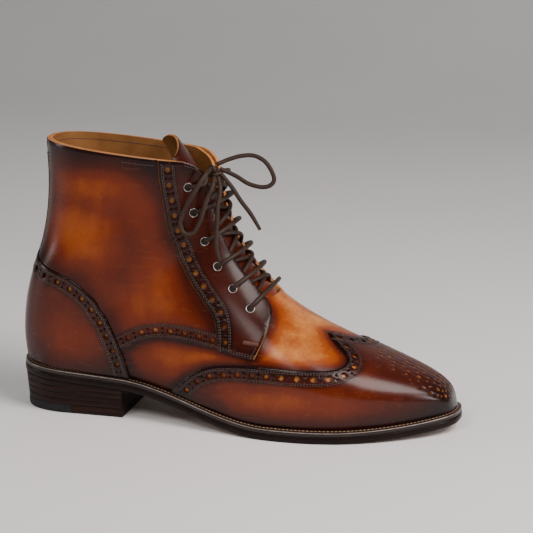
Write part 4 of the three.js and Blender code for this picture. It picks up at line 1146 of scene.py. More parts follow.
loops = []
for side in SIDES.values():
    edge = strip_line(side, STRIP_HALF, STRIP_FOOT)
    foot = np.array([edge[-1], (STRIP_TIP, side * 1.0)])
    top = collar(side, 1 - STRIP_HALF / float(leather.girth_at([[COLLAR, side]])[0]), 1.0)[::-1]
    loops.append([(edge, True), (foot, False), (down(side, STRIP_TIP, COLLAR), False), (top, True)])
back_strip = cut_panel('back_strip_leather', loops, LOW, COUNTER_TOP, PATINA_AND_PAINTED_LIGHT['back_strip'], TAN_SKINS,
                       band_edge=seams('strip'))
finish_piece(back_strip, 'counter', 'back_strip')

# %% [markdown]
# The facing and the quarter meet along a pinked seam. The quarter keeps clear of its neighbours by a
# seam's width and a tooth, and its hem lies over the vamp.

# %% Facings and quarters
HEM_TOP, HEM_FOOT, BEHIND_FOOT, PAST_TIP = 11.9, 11.93, 13.95, 0.12
BEHIND_TIP = 1 - (STRIP_HALF + SEAM) / COLLAR_GIRTH
for word, side in SIDES.items():
    front, foot, facing = (LINES[f'{name} {word}'] for name in ('front', 'foot', 'facing'))
    runs = [(front, True), (foot, True), (pink(facing, -side)[1:], True),
            (collar(side, .22, .322)[::-1], True)]
    piece = cut_panel('facing_leather_' + word, [runs], LOW, FACING_TOP, PATINA_AND_PAINTED_LIGHT['facing'], TAN_SKINS,
                      holes['facing_' + word], band_edge=seams('facing'))
    finish_piece(piece, 'facings', 'facing_' + word)
    beside = aside(facing, -side * (SEAM + TOOTH_DEPTH))[::-1]
    beside = beside[beside[:, 0] > HEM_TOP]
    beside[0, 0] = COLLAR
    hem = LINES['hem ' + word]
    hem = hem[hem[:, 0] > HEM_FOOT]
    behind = aside(LINES['counter ' + word], -side * (SEAM + TOOTH_DEPTH))[::-1]
    behind = behind[(behind[:, 0] > BEHIND_FOOT) & (np.abs(behind[:, 1]) < BEHIND_TIP)]
    strip = strip_line(side, STRIP_HALF + SEAM, behind[-1, 0] + PAST_TIP)[::-1]
    rim = collar(side, abs(beside[0, 1]), abs(strip[-1, 1]))[::-1]
    runs = [(beside, False), (pink(hem, -side), True), (behind, False), (strip, False), (rim, True)]
    piece = cut_panel('quarter_leather_' + word, [runs], LOW, QUARTER_TOP, PATINA_AND_PAINTED_LIGHT['quarter'], TAN_SKINS,
                      holes['quarter_' + word], band_edge=seams('hem'))
    finish_piece(piece, 'quarters', 'quarter_' + word)

# %% [markdown]
# Stitches, punched lips and eyelets repeat along lines or at points, so Geometry Nodes make them. A
# stitch is a small rounded bead laid along its seam: the line is resampled at the stitch length, and
# each bead is turned by the seam's direction and the leather's own upward direction, kept on the line
# as an attribute. A ring tree does the same for the lips and the eyelets.

# %% Geometry Nodes words
class Tree:
    """A Geometry Nodes tree under construction, with named inputs."""

    def __init__(self, name, inputs):
        self.tree = bpy.data.node_groups.new(name, 'GeometryNodeTree')
        self.tree.interface.new_socket('Geometry', in_out='INPUT', socket_type='NodeSocketGeometry')
        for label, kind in inputs:
            self.tree.interface.new_socket(label, in_out='INPUT', socket_type='NodeSocket' + kind)
        self.tree.interface.new_socket('Geometry', in_out='OUTPUT', socket_type='NodeSocketGeometry')
        self.inputs = self.tree.nodes.new('NodeGroupInput')

    def add(self, kind, settings=None, inputs=None, output=0):
        made = self.tree.nodes.new(kind)
        for key, value in (settings or {}).items():
            setattr(made, key, value)
        for key, value in (inputs or {}).items():
            if isinstance(value, bpy.types.NodeSocket):
                self.tree.links.new(value, made.inputs[key])
            else:
                made.inputs[key].default_value = value
        return made.outputs[output]

    def named(self, label):
        return self.inputs.outputs[label]

    def attribute(self, name, kind='FLOAT_VECTOR'):
        return self.add('GeometryNodeInputNamedAttribute', {'data_type': kind}, {'Name': name})

    def close(self, instances, material):
        real = self.add('GeometryNodeRealizeInstances', None, {0: instances})
        soft = self.add('GeometryNodeSetShadeSmooth', None, {0: real})
        done = self.add('GeometryNodeSetMaterial', None, {0: soft, 'Material': material})
        output = self.tree.nodes.new('NodeGroupOutput')
        self.tree.links.new(done, output.inputs[0])
        return self.tree


def stitch_tree():
    t = Tree("Stitches", [('Pitch', 'Float'), ('Length', 'Float'), ('Width', 'Float'), ('Height', 'Float'),
                          ('Thread', 'Material')])
    curve = t.add('GeometryNodeMeshToCurve', None, {0: t.named('Geometry')})
    curve = t.add('GeometryNodeResampleCurve', {'mode': 'LENGTH'}, {0: curve, 'Length': t.named('Pitch')})
    bead = t.add('GeometryNodeMeshIcoSphere', None, {'Radius': 0.5, 'Subdivisions': 2})
    tangent = t.add('GeometryNodeInputTangent')
    turn = t.add('FunctionNodeAxesToRotation', {'primary_axis': 'X', 'secondary_axis': 'Z'},
                 {'Primary Axis': tangent, 'Secondary Axis': t.attribute('up')})
    size = t.add('ShaderNodeCombineXYZ', None,
                 {0: t.named('Length'), 1: t.named('Width'), 2: t.named('Height')})
    beads = t.add('GeometryNodeInstanceOnPoints', None,
                  {'Points': curve, 'Instance': bead, 'Rotation': turn, 'Scale': size})
    return t.close(beads, t.named('Thread'))


def ring_tree():
    t = Tree("Rings", [('Around', 'Int'), ('Section', 'Int'), ('Flange', 'Float'), ('Height', 'Float'),
                       ('Finish', 'Material')])
    circle = t.add('GeometryNodeCurvePrimitiveCircle', None, {'Resolution': t.named('Around'), 'Radius': 1.0})
    section = t.add('GeometryNodeCurvePrimitiveCircle', None,
                    {'Resolution': t.named('Section'), 'Radius': 1.0})
    size = t.add('ShaderNodeCombineXYZ', None, {0: t.named('Flange'), 1: t.named('Height'), 2: 1.0})
    section = t.add('GeometryNodeTransform', None, {'Geometry': section, 'Scale': size})
    ring = t.add('GeometryNodeCurveToMesh', None, {'Curve': circle, 'Profile Curve': section})
    turn = t.add('FunctionNodeAxesToRotation', {'primary_axis': 'Z', 'secondary_axis': 'X'},
                 {'Primary Axis': t.attribute('up'), 'Secondary Axis': t.attribute('side')})
    points = t.add('GeometryNodeMeshToPoints', None, {0: t.named('Geometry')})
    rings = t.add('GeometryNodeInstanceOnPoints', None,
                  {'Points': points, 'Instance': ring, 'Rotation': turn,
                   'Scale': t.attribute('ring', 'FLOAT')})
    return t.close(rings, t.named('Finish'))


TREES = {'stitches': stitch_tree(), 'rings': ring_tree()}
print("trees:", list(TREES))


def grow(name, tree, points, edges, vectors, numbers, settings):
    """A mesh of guide points, run through a tree and baked to a plain mesh."""
    guide = bpy.data.meshes.new(name + " guide")
    guide.from_pydata([tuple(p) for p in to_frame(points)], [tuple(map(int, e)) for e in edges], [])
    for key, values in vectors.items():
        guide.attributes.new(key, 'FLOAT_VECTOR', 'POINT').data.foreach_set(
            "vector", np.asarray(values, np.float32).ravel())
    for key, values in numbers.items():
        guide.attributes.new(key, 'FLOAT', 'POINT').data.foreach_set(
            "value", np.asarray(values, np.float32))
    piece = bpy.data.objects.new(name, guide)
    bpy.context.collection.objects.link(piece)
    modifier = piece.modifiers.new("grow", 'NODES')
    modifier.node_group = TREES[tree]
    for item in TREES[tree].interface.items_tree:
        if item.in_out == 'INPUT' and item.name in settings:
            modifier[item.identifier] = settings[item.name]
    view = bpy.context.evaluated_depsgraph_get()
    baked = bpy.data.meshes.new_from_object(piece.evaluated_get(view))
    piece.modifiers.remove(modifier)
    piece.data = baked
    return piece


# %% [markdown]
# Three kinds of stitch hold the upper: the rows beside each band, a row inside the collar that shows
# on the lining, and a bar of close stitches over the facing's lower corner, so that it doesn't tear.

# %% Stitches and lips
STITCH = {'Pitch': 1.9 * MM, 'Length': 1.6 * MM, 'Width': 0.62 * MM, 'Height': 0.55 * MM,
          'Thread': MATERIAL['thread']}
BAR_STITCH = {'Pitch': 0.6 * MM, 'Length': 0.66 * MM, 'Width': 3.0 * MM, 'Height': 1.5 * MM,
              'Thread': MATERIAL['tack']}
THREAD_PROUD, BAR_PROUD = 0.06, 0.1
LIP_SINK, LIP_REACH = 0.14, 0.10
LIP = {'Around': 12, 'Section': 5, 'Flange': 0.09, 'Height': 0.09, 'Finish': MATERIAL['dark']}
SLANT = (0.3, 0.2, 0.9)  # no normal points this way, so it gives each ring a side
TACK = [(11.2, .503), (10.97, .495), (10.73, .487)]


def sew_lines(name, runs, settings):
    points, edges, up = [], [], []
    for place, normal in runs:
        first = len(points)
        points += list(place)
        up += list(normal)
        edges += [(first + k, first + k + 1) for k in range(len(place) - 1)]
    return grow(name, 'stitches', points, edges, {'up': up}, {}, settings)


for group, charts in stitches.items():
    runs = [(leather.place(chart, TOP[group] + THREAD_PROUD + bulge(chart)), leather.normal(chart))
            for chart in charts]
    finish_piece(sew_lines('stitches_' + group, runs, STITCH), SLOT[group])

runs = [(leather.place(chart, -WALL - THREAD_PROUD), -leather.normal(chart))
        for side in SIDES.values() for chart in band(collar(side, .27, 1), -side * RIM_STITCH)]
finish_piece(sew_lines('stitches_lining', runs, STITCH), 'upper')

charts = [run_line(on_side(TACK, side), gap=1.0) for side in SIDES.values()]
runs = [(leather.place(chart, FACING_TOP + BAR_PROUD), leather.normal(chart)) for chart in charts]
finish_piece(sew_lines('bar_tacks', runs, BAR_STITCH), 'facings')

for group, spots in holes.items():
    chart = np.array([spot for spot, _, _ in spots])
    radius = np.array([r for _, r, _ in spots])
    up = leather.normal(chart)
    piece = grow('punched_lips_' + group, 'rings', leather.place(chart, TOP[group] - LIP_SINK + bulge(chart)),
                 [], {'up': up, 'side': np.cross(up, SLANT)}, {'ring': (radius + LIP_REACH) * MM}, LIP)
    finish_piece(piece, SLOT[group])

# %% [markdown]
# The eyelets are thin nickel rings, rolled over on the leather. They stand on the facings, square to
# the leather, and the ring tree makes all twelve at once.

# %% Metal, eyelets
def nickel():
    s = Shader("nickel")
    wear = s.noise(700, 3, 0.6)
    return s.set(Base_Color=(0.52, 0.48, 0.44, 1), Metallic=1.0, Roughness=(0.22 + wear * 0.16),
                 Normal=s.bump(wear, 0.00003, 0.4))


def well():
    # Painted shade: a near black disc stands for the dark opening of each eyelet.
    s = Shader("painted eyelet shade")
    shade_mottle = s.noise(500, 2, 0.5)
    return s.set(Base_Color=s.ramp(shade_mottle, [(0.3, (0.006, 0.004, 0.003)), (0.7, (0.02, 0.012, 0.009))]),
                 Roughness=0.7)


MATERIAL['nickel'] = nickel()
MATERIAL['well'] = well()
EYELET_RADIUS, EYELET_LIFT, WELL_LIFT = 2.75, 2.5, 2.32
WELL_AROUND, WELL_THICK, WELL_SHARE = 24, 0.06, 0.98
spots = [(s, side * v) for side in SIDES.values() for s, v in EYELETS]
up = leather.normal(spots)
side_ways = unit(np.cross(up, SLANT))
eyelet_rings = grow('eyelet_rings', 'rings', leather.place(spots, EYELET_LIFT), [],
                    {'up': up, 'side': side_ways}, {'ring': np.full(len(spots), EYELET_RADIUS * MM)},
                    {'Around': 32, 'Section': 10, 'Flange': 0.10, 'Height': 0.11,
                     'Finish': MATERIAL['nickel']})
finish_piece(eyelet_rings, 'eyelets', *[f'eyelet_{w}_{k}' for w in SIDES for k in range(1, 7)])

# A dark disc closes each eyelet, where the lace goes down: painted shade that stands for the shadowed
# opening.
points, faces = [], []
angle = np.linspace(0, 2 * math.pi, WELL_AROUND, endpoint=False)
for spot, normal, side in zip(spots, up, side_ways):
    other = np.cross(normal, side)
    ring = EYELET_RADIUS * (np.cos(angle)[:, None] * side + np.sin(angle)[:, None] * other)
    low = leather.place(spot, WELL_LIFT)[0]
    high = low + normal * WELL_THICK
    first, n = len(points), WELL_AROUND
    points += [*(low + ring * WELL_SHARE), *(high + ring * WELL_SHARE), low, high]
    for k in range(n):
        a, b = first + k, first + (k + 1) % n
        faces += [(a, b, b + n, a + n), (first + 2 * n, b, a), (first + 2 * n + 1, a + n, b + n)]
finish_piece(make_mesh('eyelet_wells', points, faces, None, [MATERIAL['well']]), 'eyelets')

# %% [markdown]
# The rest of the lace needs the eyelets. It goes straight across the throat from eyelet to eyelet and
# crosses back under the facings, on the tongue. The two strands of the top pair run up to the knot.

# %% Lace on the throat
BAR_LIFT, EYE_SINK = 5.1, 1.2  # the lace over the throat, and where it goes down into the eyelet
EYE_INSIDE, EYE_LIFT = 0.93, BAR_LIFT - .6
SAG, SIDE_SAG, RISE = 1.2, 0.3, 4.0  # of a bar in its middle and beside it, and of the topmost strands
for k, (s, v) in enumerate(EYELETS[1:], 2):
    down_in = leather.place([(s, -v), (s, v)], EYE_SINK)
    turn_in = leather.place([(s, -v * EYE_INSIDE), (s, v * EYE_INSIDE)], EYE_LIFT)
    over_throat = leather.place([(s, p * v) for p in (-.55, 0, .55)],
                                [BAR_LIFT - SIDE_SAG, BAR_LIFT - SAG, BAR_LIFT - SIDE_SAG])
    path = np.vstack([down_in[:1], turn_in[:1], over_throat, turn_in[1:], down_in[1:]])
    finish_piece(tube(f'lace_bar_{k}_cord', spline(path, 10)), 'lace', f'lace_bar_{k}')

s, v = EYELETS[0]
for word, side in SIDES.items():
    way = [leather.place((s, side * v), EYE_SINK)[0],
           leather.place((s, side * v * EYE_INSIDE), EYE_LIFT)[0]]
    for part in (0.8, 0.7 if side < 0 else 0.55):
        way.append(leather.place((s, side * v * part), BAR_LIFT + (1 - part) * RISE)[0])
    path = spline([*way, STRAND_ENDS[word] * WHOLE], 10)
    finish_piece(tube(f'lace_strand_{word}_cord', path), 'lace', f'lace_strand_{word}')

# Between two bars the lace crosses itself on the tongue. One run passes over the other.
UNDER_FACING, ON_TONGUE, PASS_OVER = 1.05, -1.3, 2.2
CROSS_POINTS, BESIDE_EYELET = 9, 0.3
front = LINES['front lateral'][::-1]
across = np.linspace(-1, 1, CROSS_POINTS)
for k, ((high, _), (low, _)) in enumerate(zip(EYELETS, EYELETS[1:])):
    s = np.linspace(high - BESIDE_EYELET, low + BESIDE_EYELET, CROSS_POINTS)
    share = np.interp(s, front[:, 0], -front[:, 1]) * UNDER_FACING * across
    for word, side in SIDES.items():
        lift = ON_TONGUE + (PASS_OVER if (side > 0) == (k % 2 > 0) else 0) * (1 - across ** 2) ** 2
        path = spline(leather.place(np.stack([s, -side * share], 1), lift), 6)
        finish_piece(tube(f'lace_crossing_{k + 1}_{word}', path), 'lace')

TURNS, KNOT_SIZE = np.linspace(0, 2 * math.pi, 90), (1.05, 1.7, 1.15)
knot_path = KNOT + np.stack([(2 + np.cos(3 * TURNS)) * np.cos(2 * TURNS), np.sin(3 * TURNS),
                             (2 + np.cos(3 * TURNS)) * np.sin(2 * TURNS)], 1) * KNOT_SIZE
finish_piece(tube('lace_knot_cord', knot_path[:-1]), 'lace', 'lace_knot')

# %% [markdown]
# The tongue lies under the throat and leans back towards its top, which stands above the collar. It
# has its own surface, the last's own moved inward and back. Its top is cut away on the outer side.

# %% Tongue
TONGUE_FOOT, TONGUE_BEND, TONGUE_TOP = 10.2, 18.0, 26.95
TONGUE_THICK, TONGUE_UNDER = 1.8, 2.7
TONGUE_LEAN, LEAN_CURVE = 28.0, 1.1
TONGUE_HALF, TONGUE_TOP_HALF = 35.0, {-1: 27.0, 1: 38.0}
TONGUE_CORNER, TONGUE_PEAK, TONGUE_SLOPE, TONGUE_ROUND = 12.0, 12.0, 0.45, 12.0
TONGUE_TONE, TONGUE_EDGE, TONGUE_GLOW = 0.42, 0.14, 0.42  # its patina, and the glow at its foot
RIDGE_POINTS, SIDE_POINTS = 240, 120


def tongue_section(station):
    """The last's section, let in by the tongue's depth and moved back by its lean."""
    s, depth = bare_section(station), -TONGUE_UNDER - TONGUE_THICK
    before, after = bare_section(max(0, station - .05)), bare_section(station + .05)
    run = unit([after['topX'] - before['topX'], after['topZ'] - before['topZ']])
    lean = TONGUE_LEAN * min(max((station - TONGUE_BEND) / (TONGUE_TOP - TONGUE_BEND), 0), 1) ** LEAN_CURVE
    s['topX'] += depth * run[1] - lean
    s['topZ'] -= depth * run[0]
    s['lowX'] -= lean + (depth if station >= HEEL_ROW else 0)
    for name in ('out', 'in'):
        s[name] = max(0, s[name] + depth)
    return s


tongue_skin = build_surface(lambda station: (tongue_section if station > 9 else bare_section)(station))
stations = np.linspace(TONGUE_FOOT, TONGUE_TOP, RIDGE_POINTS)
middle_line = leather.place(np.stack([stations, np.zeros(RIDGE_POINTS)], 1))
run = np.r_[0, np.cumsum(np.linalg.norm(np.diff(middle_line, axis=0), axis=1))]
top = run[-1]


def tongue_line(along, across):
    """Chart points from distances up the ridge and across it, positive on the inner side."""
    chart = np.stack([np.interp(along, run, stations), np.sign(across) + (across == 0)], 1)
    chart[:, 1] = across / leather.girth_at(chart)
    return even(tongue_skin.place(chart), 1.3, chart)[1]


def slope_drop(across):
    """How far the sloping cut takes the top down, eased round its peak."""
    past = TONGUE_PEAK - across
    return TONGUE_SLOPE * (past + np.sqrt(past ** 2 + TONGUE_ROUND ** 2)) / 2


cut_low = top - slope_drop(-TONGUE_TOP_HALF[-1])
along = np.linspace(0, cut_low, SIDE_POINTS)
edges = {-1: tongue_line(along, -(TONGUE_HALF + (TONGUE_TOP_HALF[-1] - TONGUE_HALF) * along / top))}
along = np.linspace(0, top, 800)
corner = np.clip(1 - (top - along) / TONGUE_CORNER, 0, 1)
across = (TONGUE_HALF + (TONGUE_TOP_HALF[1] - TONGUE_HALF) * along / top) * np.sqrt(1 - corner ** 2)
keep = (across > TONGUE_PEAK) | (along < top / 2)
edges[1] = tongue_line((along - slope_drop(across) * corner)[keep], across[keep])
across = np.linspace(across[keep][-1], edges[-1][-1, 1] * float(leather.girth_at(edges[-1][-1:])[0]), 60)
slope_line = tongue_line(top - slope_drop(across), across)
slope_line[0], slope_line[-1] = edges[1][-1], edges[-1][-1]
foot = np.array([edges[-1][0], (TONGUE_FOOT, 0.0), edges[1][0]])
foot = even(tongue_skin.place(foot), 2.0, foot)[1]
runs = [(foot, False), (edges[1], True), (slope_line, True), (edges[-1][::-1], True)]


def tongue_patina(chart, edge_distance, points):
    shade = TONGUE_TONE - TONGUE_EDGE * fade(edge_distance, 4)
    return np.clip(shade + TONGUE_GLOW * np.clip((14 - chart[:, 0]) / 3, 0, 1), 0, 1)


tongue = cut_panel('tongue_leather', [runs], 0.0, TONGUE_THICK, tongue_patina, UPPER_SKINS,
                   surface=tongue_skin)
finish_piece(tongue, 'tongue', 'tongue')

# %% [markdown]
# The sole is a stack of flat layers cut to one outline: insole, welt, outsole, and a heel of four
# lifts on a top piece that is rubber at the back and leather at the breast. Each is lofted through a
# few rings, so that its edge gets the rounding a burnishing iron gives it.

# %% Rings of the sole
WELT_REACH = 6.4
REACH = [0.78, 0.66, 0.62, 0.66, 0.88, 1, 0.97, 0.84, 0.75]
TOP_PIECE, RUBBER_LENGTH, HEEL_INSET, HEEL_TAPER = 6.0, 43.0, 0.6, 1.6


def reach(x):
    """How far the welt stands out past the last, from the heel to the toe."""
    place = np.clip(x / LENGTH, 0, 1) * (len(REACH) - 1)
    k = np.minimum(place.astype(int), len(REACH) - 2)
    t = place - k
    table = np.array(REACH)
    return WELT_REACH * (table[k] + (table[k + 1] - table[k]) * t * t * (3 - 2 * t))


def edge_line(side, change, own_reach=True):
    """The last's edge on one side, moved out, as x and y from back to front."""
    stations = HEEL_ROW * (1 - np.cos(np.linspace(0, math.pi, 261))) / 2
    sections = [bare_section(float(station)) for station in np.minimum(stations, HEEL_ROW - 1e-4)]
    edge = 'edgeOut' if side < 0 else 'edgeIn'
    line = np.array([(s['lowX'], s['ridge'] + side * s[edge]) for s in sections])
    tangent = unit(np.gradient(line, axis=0))
    normal = np.stack([tangent[:, 1], -tangent[:, 0]], 1) * side
    normal[0], normal[-1] = (1, 0), (-1, 0)
    grow_by = change + (reach(line[:, 0]) if own_reach else 0)
    line = line + normal * np.reshape(grow_by, (-1, 1))
    return line[np.argsort(line[:, 0])]


def sole_shares(count, cut_front, cut_back):
    t = np.linspace(0, 1, count + 1)
    if not cut_front and not cut_back:
        return (1 - np.cos(math.pi * t)) / 2
    return 1 - np.cos(math.pi / 2 * t) if cut_front and not cut_back else t


def sole_ring(change, height, start=None, end=None, own_reach=True, count=120):
    """Both sides of one ring of the sole, cut straight across where a start or an end is given."""
    lines = [edge_line(-1, change, own_reach), edge_line(1, change, own_reach)]
    back = max(lines[0][0, 0], start) if start is not None else lines[0][0, 0]
    front = min(lines[0][-1, 0], end) if end is not None else lines[0][-1, 0]
    x = back + (front - back) * sole_shares(count, end is not None, start is not None)
    ring = [np.stack([x, np.interp(x, line[:, 0], line[:, 1]), height(x)], 1) for line in lines]
    if start is None:
        ring[0][0, 1] = ring[1][0, 1] = (ring[0][0, 1] + ring[1][0, 1]) / 2
    if end is None:
        ring[0][-1, 1] = ring[1][-1, 1] = (ring[0][-1, 1] + ring[1][-1, 1]) / 2
    return ring


ACROSS = 6  # faces from one side of a sole's flat face to the other


def sole_caps(loop, steps, points, up):
    """The faces that close a stack of rings, above or below, with their inner points."""
    rows, faces = [], []
    for k in range(steps + 1):
        a, b = loop[k], loop[2 * steps + 1 - k]
        row = [a]
        for t in np.arange(1, ACROSS) / ACROSS:
            points.append(np.asarray(points[a]) * (1 - t) + np.asarray(points[b]) * t)
            row.append(len(points) - 1)
        rows.append(row + [b])
    for first, second in zip(rows, rows[1:]):
        for a, b, c, d in zip(first, second, second[1:], first[1:]):
            faces.append((a, b, c, d) if up else (a, d, c, b))
    return faces


def sole_body(name, layers, materials, closed=True, bright=(), cap_kinds=(0, 0), sharp=38, **span):
    """layers: (how far out, height, follows the welt's reach). An open stack joins its two ends."""
    points, loops, faces, kinds = [], [], [], []
    for change, height, own in layers:
        left, right = sole_ring(change, height, own_reach=own, **span)
        loops.append(range(len(points), len(points) + len(left) + len(right)))
        points += [*left, *right[::-1]]
    pairs = list(zip(loops, loops[1:])) + ([] if closed else [(loops[-1], loops[0])])
    for number, (low, high) in enumerate(pairs):
        for k in range(len(low)):
            m = (k + 1) % len(low)
            faces.append((low[k], low[m], high[m], high[k]))
            kinds.append(1 if number in bright else 0)
    if closed:
        for loop, up, kind in ((loops[0], False, cap_kinds[0]), (loops[-1], True, cap_kinds[1])):
            made = sole_caps(loop, len(left) - 1, points, up)
            faces += made
            kinds += [kind] * len(made)
    piece = make_mesh(name, points, faces, kinds, materials)
    clean(piece, sharp)
    return piece


def clean(piece, sharp):
    work = bmesh.new()
    work.from_mesh(piece.data)
    bmesh.ops.remove_doubles(work, verts=work.verts, dist=2e-6)
    bmesh.ops.dissolve_degenerate(work, edges=work.edges, dist=1e-7)
    bmesh.ops.recalc_face_normals(work, faces=work.faces)
    work.to_mesh(piece.data)
    work.free()
    piece.data.set_sharp_from_angle(angle=math.radians(sharp))


def over(lift):
    return lambda x: tread(x) + lift


print(f"welt stands out {reach(LENGTH / 2):.1f} mm at the waist")

# %% [markdown]
# Each layer is a table from its lower edge to its upper one. The welt's ring runs on round the inside,
# under the upper, and the bevel along its outer top edge is painted pale, as a highlight.

# %% Sole, welt and insole
# Each row: how far out, how high over the tread and, for the welt, whether it follows the reach.
OUTSOLE_LAYERS = [(-1.3, 0), (-0.45, 0.35), (-0.05, 1.1), (0.0, 2.6), (-0.1, 4.1), (-0.5, 4.75),
                  (-1.2, 4.95)]
SHELF = OUTSOLE + WELT + WELT_RISE - 0.6
WELT_LAYERS = [(-7.0, 5.05, False), (-1.0, 5.05, True), (-0.45, 5.25, True), (-0.3, 5.9, True),
               (-0.3, 7.25, True), (-0.7, 7.8, True), (-1.5, 8.05, True), (0.9, 8.55, False),
               (0.0, 8.7, False), (-7.0, SHELF, False)]
INSOLE_LAYERS = [(-7.3, 5.3), (-7.3, 9.2), (-4.6, 9.2), (-4.6, 11.0), (-5.2, 11.7)]
WELT_STITCH = {'Pitch': 2.7 * MM, 'Length': 2.2 * MM, 'Width': 0.75 * MM, 'Height': 0.6 * MM,
               'Thread': MATERIAL['welt thread']}
STITCH_IN, STITCH_HEIGHT = 2.9, 8.24
PAINTED_HIGHLIGHT_EDGE = 4  # the welt's bevel layer, painted pale as a highlight

outsole = sole_body('leather_outsole', [(out, over(lift), True) for out, lift in OUTSOLE_LAYERS],
                    skins('sole', 'tread'), cap_kinds=(1, 0))
finish_piece(outsole, 'outsole', 'outsole')
welt = sole_body('leather_welt', [(out, over(lift), own) for out, lift, own in WELT_LAYERS],
                 skins('welt', 'welt edge'), closed=False, bright=(PAINTED_HIGHLIGHT_EDGE,))
finish_piece(welt, 'welt', 'welt')
left, right = sole_ring(-STITCH_IN, over(STITCH_HEIGHT))
line = even(np.vstack([left, right[::-1], left[:1]]), 1.5)
finish_piece(sew_lines('stitches_welt', [(line, np.tile((0, 0, 1.0), (len(line), 1)))], WELT_STITCH), 'welt')
insole = sole_body('padded_insole', [(out, over(lift), False) for out, lift in INSOLE_LAYERS],
                   skins('lining'))
finish_piece(insole, 'insole', 'insole')

# %% [markdown]
# The heel is built of leather lifts, glued and nailed, then sanded and burnished as one block. A fine
# line stays between two lifts. The last of them, the top piece, has a rubber half that takes the wear.

# %% Heel


def lift_leather():
    s = Shader("stacked heel leather")
    layers = s.noise(60, 3, 0.6, stretch=(0.25, 0.25, 14.0))
    fibres = s.noise(900, 3, 0.6, stretch=(0.4, 0.4, 2.0))
    colour = s.ramp((layers * 0.7 + fibres * 0.3).clamp(),
                    [(0.30, (0.004, 0.002, 0.002)), (0.52, (0.014, 0.005, 0.004)),
                     (0.72, (0.040, 0.014, 0.008))])
    return s.set(Base_Color=colour, Roughness=(0.42 + fibres * 0.2).clamp(), Coat_Weight=0.05,
                 Coat_Roughness=0.3, Normal=s.bump(layers + fibres, 0.00012, 0.6), Specular_IOR_Level=0.12)


def heel_rubber_finish():
    s = Shader("heel rubber")
    dust = s.noise(300, 4, 0.6)
    return s.set(Base_Color=s.ramp(dust, [(0.3, (0.007, 0.007, 0.008)), (0.8, (0.022, 0.021, 0.023))]),
                 Roughness=(0.55 + dust * 0.25).clamp(), Normal=s.bump(dust, 0.00008, 0.5),
                 Specular_IOR_Level=0.2)


def heel_height(share, drop=0.0):
    return lambda x: TOP_PIECE + (tread(x) - 0.15 - TOP_PIECE) * share - drop


def pulled_in(share):
    return -HEEL_INSET - HEEL_TAPER * (1 - share)


MATERIAL |= {'lift': lift_leather(), 'rubber': heel_rubber_finish()}
LIFTS, GROOVE, ROUNDING = 4, 0.02, 0.30
for k in range(LIFTS):
    low, high = k / LIFTS, (k + 1) / LIFTS
    layers = [(pulled_in(low) - ROUNDING, heel_height(low, -GROOVE), True),
              (pulled_in(low), heel_height(low, -GROOVE - ROUNDING), True),
              (pulled_in(high), heel_height(high, GROOVE + ROUNDING), True),
              (pulled_in(high) - ROUNDING, heel_height(high, GROOVE), True)]
    piece = sole_body(f'stacked_lift_{k + 1}', layers, skins('lift'), end=HEEL_LENGTH, count=48, sharp=60)
    finish_piece(piece, 'heel_lifts', f'heel_lift_{k + 1}')


def flat(z):
    return lambda x: np.full(np.shape(x), z)


inset = pulled_in(0)
TOP_PIECE_LAYERS = [(inset - 0.7, flat(0.0), True), (inset - 0.15, flat(0.5), True), (inset, flat(1.2), True),
                    (inset, flat(5.6), True), (inset - 0.3, flat(5.95), True)]
for name, node, slot, finish, span in (
        ('rubber_top_piece', 'heel_rubber', 'heel_rubber', 'rubber', {'end': RUBBER_LENGTH - 0.15}),
        ('leather_top_piece', 'heel_leather', 'heel_lifts', 'lift',
         {'start': RUBBER_LENGTH, 'end': HEEL_LENGTH})):
    piece = sole_body(name, TOP_PIECE_LAYERS, skins(finish), count=40, sharp=60, **span)
    finish_piece(piece, slot, node)

# %% [markdown]
# The set is a studio table: a pale sweep, a soft box in front of the toe and above it, one behind the
# heel, a low one in front and a weak fill. Each is placed where a part of the polish mirrors it: the
# vamp, the counter and the shaft's back, the facing's front edge.

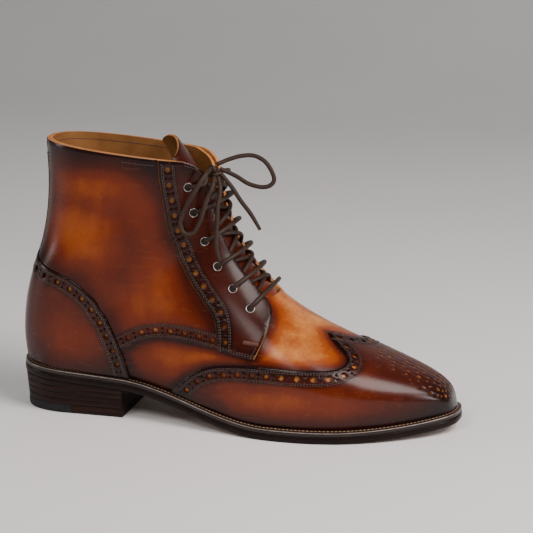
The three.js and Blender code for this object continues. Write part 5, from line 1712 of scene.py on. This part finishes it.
# %% Studio
SWEEP_HALF, SWEEP_FRONT, SWEEP_TOP = 4.0, -4.0, 5.0
BEND_AT, BEND = 1.2, 1.2  # where the floor starts to rise, and the radius of the bend
PALE_LOW, PALE_HIGH = (0.86, 0.855, 0.85), (0.90, 0.895, 0.89)
LIGHTS = [  # name, place, target, size, power, colour
    ("front top", (0.90, -0.38, 1.05), (0.08, 0, 0.06), (0.80, 0.70), 20, (1.0, 0.92, 0.89)),
    ("behind the heel", (-1.35, -0.30, 0.42), (-0.1, 0, 0.10), (0.30, 0.60), 4, (1.0, 0.88, 0.86)),
    ("low front", (1.45, -0.35, 0.50), (0.05, 0, 0.08), (0.30, 0.45), 5, (1.0, 0.93, 0.93)),
    ("fill", (-0.25, -1.25, 1.35), (0.0, 0, 0.08), (0.9, 0.6), 12, (1.0, 0.97, 0.95))]
SURROUND, SURROUND_POWER = (0.9, 0.92, 0.95, 1), 0.14


def remove_defaults():
    for thing in list(bpy.data.objects):
        if thing.name in ('Cube', 'Light', 'Camera'):
            bpy.data.objects.remove(thing)


def add_light(name, place, target, size, power, colour):
    data = bpy.data.lights.new(name, 'AREA')
    data.shape, data.size, data.size_y = 'RECTANGLE', *size
    data.energy, data.color = power, colour
    light = bpy.data.objects.new(name, data)
    light.location = place
    light.rotation_euler = (Vector(target) - Vector(place)).to_track_quat('-Z', 'Y').to_euler()
    bpy.context.collection.objects.link(light)


def add_sweep():
    bend = [(BEND_AT + BEND * math.sin(a), BEND - BEND * math.cos(a))
            for a in np.linspace(0.08, math.pi / 2, 20)]
    profile = [(SWEEP_FRONT, 0.0), (BEND_AT, 0.0), *bend, (BEND_AT + BEND, SWEEP_TOP)]
    points = [(x, y, z) for y, z in profile for x in (-SWEEP_HALF, SWEEP_HALF)]
    faces = [(2 * k, 2 * k + 1, 2 * k + 3, 2 * k + 2) for k in range(len(profile) - 1)]
    mesh = bpy.data.meshes.new("sweep")
    mesh.from_pydata(points, [], faces)
    mesh.polygons.foreach_set("use_smooth", np.ones(len(faces), bool))
    s = Shader("pale sweep")
    pale = s.ramp(s.noise(3, 2, 0.5), [(0.3, PALE_LOW), (0.7, PALE_HIGH)])
    mesh.materials.append(s.set(Base_Color=pale, Roughness=0.65))
    floor = bpy.data.objects.new("sweep", mesh)
    bpy.context.collection.objects.link(floor)


remove_defaults()
add_sweep()
for light in LIGHTS:
    add_light(*light)
world = bpy.context.scene.world or bpy.data.worlds.new("studio")
bpy.context.scene.world = world
world.use_nodes = True
for socket, value in zip(world.node_tree.nodes["Background"].inputs, (SURROUND, SURROUND_POWER)):
    socket.default_value = value

# %% [markdown]
